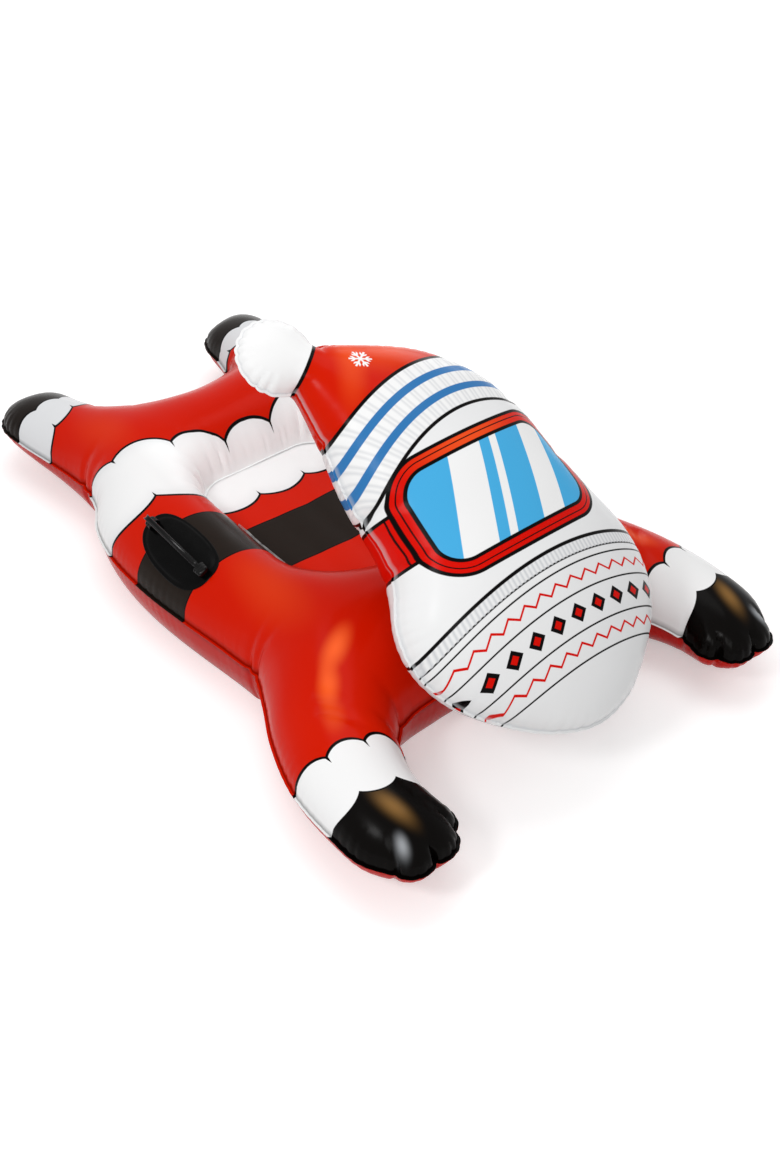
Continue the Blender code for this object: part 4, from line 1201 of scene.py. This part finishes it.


# Printed pattern of the hull, with the painted light laid over it


def glow(across, along, middle, radii, lean):
    """A soft oval patch, 1 at its middle and 0 outside; lean turns it, in radians."""
    u = across - middle[0]
    v = along - middle[1]
    cos, sin = math.cos(lean), math.sin(lean)
    a = (u * cos + v * sin) * (1 / radii[0])
    b = (v * cos - u * sin) * (1 / radii[1])
    fall = (a * a + b * b).ramp(-1, 1)
    return fall * fall


def red_with_painted_highlights(vector, across, along, highlights):
    """Red film, a little cloudy, with painted highlights where the light pools on it."""
    red = painted(RED, DEEP_RED, noise(vector, PRINT_CLOUD_SCALE) * RED_CLOUD_SHARE)
    for middle, radii, lean, strength in highlights:
        red = painted(red, HIGHLIGHT_RED, glow(across, along, middle, radii, lean) * strength)
    return red


def scallops(across, along, period, rise):
    """Distance from a scalloped border whose lobes point to lower along; its notches lie on zero."""
    radius = (period ** 2 / 4 + rise ** 2) / (2 * rise)
    step = across.zigzag(period)
    return along + ((radius ** 2 - step * step).sqrt() - (radius - rise))


def notches(across, edge, period):
    """Short tapering strokes that run from a scalloped border's notches into the piece."""
    gap = period / 2 - across.zigzag(period)
    return (gap * NOTCH_SLOPE - edge - NOTCH_DEPTH).high(edge - LINE / 2).below()


def bordered(under, fill, edge, width=LINE):
    """Fills the place inside the edge and draws an ink line along its border."""
    return painted(painted(under, fill, edge.below()), INK, edge.near(width))


def trimmed(under, fill, across, edge, period):
    """The same, with strokes at the notches of its scalloped border."""
    return painted(bordered(under, fill, edge), INK, notches(across, edge, period))


def hem_colour(colour, x, y, hollow_share):
    """The white hem round the seat, painted paler and cooler in the hollow against its shade and the red
    light thrown into it, and shaded towards its border.
    """
    front = scallops(x, y - x * x * HEM_FRONT_CURVE - HEM_FRONT, HEM_PERIOD, HEM_RISE)
    rear = scallops(x, HEM_REAR - y + x * x * HEM_REAR_CURVE, HEM_PERIOD, HEM_RISE)
    hem = (-front).high(-rear)
    inside = hem.below(LINE)
    colour = bordered(colour, WHITE, hem)
    hollow = x.abs().ramp(-1 / HEM_HOLLOW_BLEND, HEM_HOLLOW / HEM_HOLLOW_BLEND)
    colour = painted(colour, HOLLOW_FILL_WHITE, hollow * inside * hollow_share)
    shade = hem.ramp(1 / HEM_SHADE_REACH, 1)
    colour = painted(colour, PALE_GREY, shade * shade * inside * HEM_SHADE)
    colour = painted(colour, INK, hem.near(LINE))
    for border in (front, rear):
        colour = painted(colour, INK, notches(x, -border, HEM_PERIOD) * inside)
    return colour


def arm_colour(colour, side, y):
    """A white cuff and a dark glove with its printed sheen and a painted highlight on its knuckle."""
    arm = side - ARM_MIDDLE
    cuff = -scallops(arm, CUFF_PLACE - (y - arm * CUFF_SLOPE), ARM_PERIOD, ARM_RISE)
    colour = trimmed(colour, WHITE, arm, cuff, ARM_PERIOD)
    glove = scallops(arm, y - arm * GLOVE_SLOPE - GLOVE_PLACE, ARM_PERIOD, ARM_RISE)
    colour = bordered(colour, GLOVE_TONE, glove)
    for sheen_tone, patch in GLOVE_SHEEN_AND_HIGHLIGHT:
        sheen = glow(side, y, *patch)
        colour = painted(colour, sheen_tone, sheen * sheen * glove.below() * SHEEN_SHARE)
    return colour


def leg_colour(colour, side, y):
    """A pale cuff and a dark boot."""
    leg = side - LEG_MIDDLE
    ankle = -scallops(leg, y + leg * ANKLE_SLOPE - ANKLE_PLACE, LEG_PERIOD, LEG_RISE)
    colour = trimmed(colour, CUFF_GREY, leg, ankle, LEG_PERIOD)
    return bordered(colour, BOOT_TONE, scallops(leg, BOOT_PLACE - y, LEG_PERIOD, LEG_RISE))


def hull_colour(vector, x, y, hollow_share=1):
    """The suit's print: red with dark gloves and boots, white cuffs and hem, and a dark band; over it painted
    highlights on the red and the glove, and a painted lift of the hem in the hollow.
    """
    side = x.abs()
    belt = (y - side * BELT_SLOPE - BELT_MIDDLE).abs() - BELT_WIDTH / 2
    colour = bordered(red_with_painted_highlights(vector, side, y, RED_PAINTED_HIGHLIGHTS), BELT_TONE, belt, BELT_LINE)
    colour = hem_colour(colour, x, y, hollow_share)
    return leg_colour(arm_colour(colour, side, y), side, y)


def deck_colour(vector, x, y):
    return hull_colour(vector, x, y, DECK_HOLLOW_SHARE)


# The bottom sheet: the darker red painted for the shade beneath the hull, a little cloudy
def floor_colour(vector, *_):
    return painted(UNDERSIDE_SHADE_RED, DEEP_RED, noise(vector, PRINT_CLOUD_SCALE, detail=3))


# Printed pattern of the head pillow, with painted highlights on its hat and goggles


def rounded_box(x, y, middle, half, radius):
    """Distance from a box with rounded corners, negative inside."""
    u = (x - middle[0]).abs() - (half[0] - radius)
    v = (y - middle[1]).abs() - (half[1] - radius)
    a, b = u.high(0), v.high(0)
    return (a * a + b * b).sqrt() + u.high(v).low(0) - radius


def hat_colour(colour, vector, x, y):
    """The knitted hat: red crown with its bobble and painted highlights, and a white cuff with blue stripes,
    ribbed.
    """
    u, v = x - HAT_MIDDLE[0], y - HAT_MIDDLE[1]
    reach = (u * u + v * v).sqrt()
    lower = GOGGLES_MIDDLE[1] - y
    upper = lower.below()
    cuff = (CUFF_INNER - reach).high(lower).below()
    colour = painted(colour, WHITE, cuff)
    turn = u.node('ARCTAN2', v).zigzag(CUFF_RIB_TURN)
    rib = (turn * reach - CUFF_RIB_LINE).near(CUFF_RIB_LINE, CUFF_RIB_LINE)
    colour = painted(colour, PALE_GREY, rib * cuff * CUFF_RIB_SHADE)
    for level in CUFF_STRIPES:
        colour = painted(colour, KNIT_BLUE, (reach - level).near(CUFF_STRIPE_WIDTH) * upper)
    colour = painted(colour, INK, (reach - CUFF_INNER).near(LINE) * upper)
    crown = (CUFF_OUTER - reach).high(lower)
    # The crown's red carries painted highlights
    colour = bordered(colour, red_with_painted_highlights(vector, x, y, HAT_PAINTED_HIGHLIGHTS), crown)
    colour = painted(colour, WHITE, snowflake(u - FLAKE_PLACE[0], v - FLAKE_PLACE[1]))
    neck = (x - BOBBLE_NECK[0]) * BOBBLE_WAY[0] + (y - BOBBLE_NECK[1]) * BOBBLE_WAY[1]
    return bordered(colour, WHITE, -neck)


def snowflake(x, y):
    """A six-armed snowflake round the origin."""
    reach = (x * x + y * y).sqrt()
    turn = x.node('ARCTAN2', y).zigzag(math.pi / 3)
    off = reach * turn.node('SINE')
    along = reach * turn.node('COSINE')
    arm = off.near(FLAKE_LINE) * (along - FLAKE_REACH).below()
    fork = (off - (along - FLAKE_REACH * FLAKE_FORK_SHARE)).near(FLAKE_FORK_LINE)
    return arm.high(fork * (off - FLAKE_REACH * FLAKE_FORK_REACH_SHARE).below())


def strap_edge(y):
    """Distance from the goggles' strap, negative on it."""
    return (y - GOGGLES_MIDDLE[1]).abs() - STRAP_WIDTH / 2


def goggles_colour(colour, x, y):
    """Plain ski goggles: a strap, a red frame with a painted highlight along its top, and a blue lens with
    slanting glints.
    """
    strap = strap_edge(y)
    colour = bordered(colour, FRAME_RED, strap)
    colour = painted(colour, INK, (x.abs() - BUCKLE_PLACE).near(LINE / 3) * strap.below())
    rim = rounded_box(x, y, GOGGLES_MIDDLE, GOGGLES_HALF, GOGGLES_RADIUS)
    # The frame's painted highlight
    shine = glow(x, y, FRAME_HIGHLIGHT_PLACE, FRAME_HIGHLIGHT_RADII, 0) * FRAME_HIGHLIGHT_SHARE
    colour = bordered(colour, painted(FRAME_RED, HIGHLIGHT_RED, shine), rim)
    colour = painted(colour, INK, (rim + GOGGLES_RIM * RIM_GROOVE_SHARE).near(LINE / 3))
    blue = LENS_BLUE
    for level, width in LENS_GLINTS:
        blue = painted(blue, WHITE, (x - y * LENS_SLANT - level).near(width))
    return bordered(colour, blue, rim + GOGGLES_RIM)


def warmer_colour(colour, x, y):
    """The knitted neck warmer: a rolled edge, then rows of zigzags and diamonds that bend round the chin."""
    row = y - x * x * WARMER_CURVE
    edge = row - WARMER_EDGE
    colour = painted(colour, INK, (edge + WARMER_ROLL).near(LINE / 2))
    rib = (x.zigzag(WARMER_RIB) - WARMER_RIB / 4).near(WARMER_RIB / 5, WARMER_RIB / 5)
    colour = painted(colour, PALE_GREY, rib * edge.below() * (-edge - WARMER_ROLL).below())
    colour = painted(colour, INK, edge.near(LINE))
    for level, period, rise, width, ink in WARMER_ROWS:
        wave = row - level - (x.zigzag(period) - period / 4) * (rise * 2 / period)
        colour = painted(colour, ink, wave.near(width))
    for level, period, size, ink in WARMER_DIAMONDS:
        colour = painted(colour, ink, ((row - level).abs() + x.zigzag(period) - size).below())
    return colour


def cloudy_white(vector):
    return painted(WHITE, PALE_GREY, noise(vector, PRINT_CLOUD_SCALE) * WHITE_CLOUD_SHARE)


def head_front_colour(vector, x, y):
    colour = warmer_colour(cloudy_white(vector), x, y)
    return goggles_colour(hat_colour(colour, vector, x, y), x, y)


def head_back_colour(vector, x, y):
    edge = y - x * x * WARMER_CURVE - WARMER_EDGE
    colour = painted(cloudy_white(vector), INK, edge.near(LINE))
    return bordered(hat_colour(colour, vector, x, y), FRAME_RED, strap_edge(y))


# Materials


def film_material(name, colour_of, weld, place=None):
    """Printed glossy film: colour_of gives its pattern and weld the tone of the line along its seam.

    Its gloss has fine orange peel, slow waviness and a slightly uneven shine; a painted glint runs along a
    cut edge where the mesh marks one.
    """
    made, tree, shader = plain_material(name, FILM_ROUGHNESS[0], FILM_GLOSS)
    vector, (x, y, _) = coordinates(tree, place)
    seam = stored(tree, "weld_reach").near(WELD_LINE, WELD_LINE)
    colour = painted(colour_of(vector, x, y), weld, seam * WELD_SHADE)
    cloudy = noise(vector, FILM_SHINE_SCALE)
    # Pale grey painted along the cut edge, broken by noise: a painted glint
    feed(shader.inputs["Base Color"], painted(colour, PALE_GREY, glint_edge(tree) * cloudy))
    rough_from(shader, noise(vector, FILM_SHINE_SCALE, detail=3), *FILM_ROUGHNESS)
    peel = noise(vector, FILM_GRAIN_SCALE, detail=3) * FILM_GRAIN_SHARE
    bumped(shader, peel + noise(vector, FILM_SLOW_SCALE), *FILM_BUMP)
    return made


def moulded_material(name, colour, roughness, gloss):
    """Moulded vinyl: a fine grain, a cloudy shine and a little scuffing."""
    made, tree, shader = plain_material(name, roughness, gloss)
    vector, _ = coordinates(tree)
    cloudy = noise(vector, MOULDED_CLOUD_SCALE, detail=3)
    paler = tuple(min(1, value * SCUFF_GAIN + SCUFF_LIFT) for value in colour[:3]) + (1,)
    feed(shader.inputs["Base Color"], painted(colour, paler, cloudy * SCUFF_SHARE))
    rough_from(shader, cloudy, *(roughness * share for share in MOULDED_SHINE_SHARES))
    bumped(shader, noise(vector, MOULDED_GRAIN_SCALE), *MOULDED_BUMP)
    return made


def strip_material():
    """Clear weld strip: nearly unseen, with painted pale glints along its cut edges."""
    made, tree, shader = plain_material("clear_strip", STRIP_ROUGHNESS[0], STRIP_GLOSS)
    vector, _ = coordinates(tree)
    feed(shader.inputs["Base Color"], CLEAR_VINYL)
    cloudy = noise(vector, STRIP_CLOUD_SCALE)
    # The strip shows only along its edges, as painted glints
    feed(shader.inputs["Alpha"], (glint_edge(tree) * cloudy.ramp(*STRIP_CLOUD_RAMP)).high(STRIP_VEIL))
    rough_from(shader, cloudy, *STRIP_ROUGHNESS)
    return made


def build_materials(place):
    finishes = {word: moulded_material(*settings) for word, settings in MOULDED.items()}
    finishes["hull"] = film_material("hull_print", hull_colour, INK)
    finishes["deck"] = film_material("deck_print", deck_colour, INK)
    finishes["floor"] = film_material("floor_shaded_red", floor_colour, INK)
    finishes["head_front"] = film_material("head_print", head_front_colour, PALE_GREY, place)
    finishes["head_back"] = film_material("head_back_print", head_back_colour, PALE_GREY, place)
    finishes["strip"] = strip_material()
    return finishes


def dress_frame(finishes):
    """Gives the frame's own pieces a finish, by the word in their name."""
    words = {"grip": "handle", "handle": "handle", "neck_patch": "web", "floor_web": "web", "valve": "valve"}
    for name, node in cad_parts.items():
        for word, finish in words.items():
            if word in name:
                for slot in node.material_slots:
                    slot.material = finishes[finish]


# Camera, light and floor


def add_camera():
    """The photograph's view: turned and dropped round the aim, then moved back and aside."""
    data = bpy.data.cameras.new("camera")
    data.sensor_fit = 'VERTICAL'
    data.sensor_height = SENSOR_HEIGHT
    data.lens = FOCAL_PIXELS / PHOTO_HEIGHT * SENSOR_HEIGHT
    turn = Matrix.Rotation(-CAMERA_TURN, 4, 'Z') @ Matrix.Rotation(math.pi / 2 - CAMERA_DROP, 4, 'X')
    shift = Matrix.Translation((-CAMERA_RIGHT, -CAMERA_UP, CAMERA_REACH))
    made = placed("camera", data)
    made.matrix_world = Matrix.Translation(CAMERA_AIM) @ turn @ shift
    bpy.context.scene.camera = made


def add_lamp(name, place, aim, size, power):
    data = bpy.data.lights.new(name, 'AREA')
    data.shape = 'RECTANGLE'
    data.size, data.size_y = size
    data.energy = power
    way = Vector(aim) - Vector(place)
    turn = way.to_track_quat('-Z', 'Y').to_matrix().to_4x4()
    placed(name, data).matrix_world = Matrix.Translation(place) @ turn


def seen_share(tree):
    """1 for rays from the camera, in reflections and through clear film, 0 for light on surfaces."""
    path = tree.nodes.new('ShaderNodeLightPath')
    seen = Field(path.outputs["Is Camera Ray"])
    for word in ("Is Glossy Ray", "Is Transmission Ray"):
        seen = seen.high(Field(path.outputs[word]))
    return seen


def add_world():
    world = bpy.data.worlds.new("studio")
    bpy.context.scene.world = world
    world.use_nodes = True
    background = world.node_tree.nodes["Background"]
    feed(background.inputs["Color"], (1, 1, 1, 1))
    seen = seen_share(world.node_tree)
    feed(background.inputs["Strength"], seen * (1 - WORLD_LIGHT) + WORLD_LIGHT)


def add_floor():
    """A pale floor that keeps the shadow near the sled and fades to plain white away from it."""
    mesh = bpy.data.meshes.new("floor")
    half = FLOOR_SIZE / 2
    corners = [(-half, -half, 0), (half, -half, 0), (half, half, 0), (-half, half, 0)]
    mesh.from_pydata(corners, [], [(0, 1, 2, 3)])
    made, tree, shader = plain_material("floor_white", FLOOR_ROUGHNESS, 0)
    feed(shader.inputs["Base Color"], STUDIO_WHITE)
    _, (x, y, _) = coordinates(tree)
    far = (x * x + y * y).sqrt().ramp(1 / FLOOR_FADE, -FLOOR_NEAR / FLOOR_FADE)
    lift = tree.nodes.new('ShaderNodeEmission')
    feed(lift.inputs["Strength"], seen_share(tree) * (far * (1 - FLOOR_LIFT) + FLOOR_LIFT))
    both = tree.nodes.new('ShaderNodeAddShader')
    feed(both.inputs[0], shader.outputs[0])
    feed(both.inputs[1], lift.outputs[0])
    feed(tree.nodes["Material Output"].inputs["Surface"], both.outputs[0])
    mesh.materials.append(made)
    placed("floor", mesh)


def main():
    bpy.context.scene.view_settings.view_transform = 'Standard'
    add_camera()
    add_world()
    add_floor()
    for lamp in LAMPS:
        add_lamp(*lamp)
    place = head_place()
    finishes = build_materials(place)
    film = build_hull(finishes)
    build_handles(film, finishes)
    build_head(finishes, place)
    dress_frame(finishes)


main()
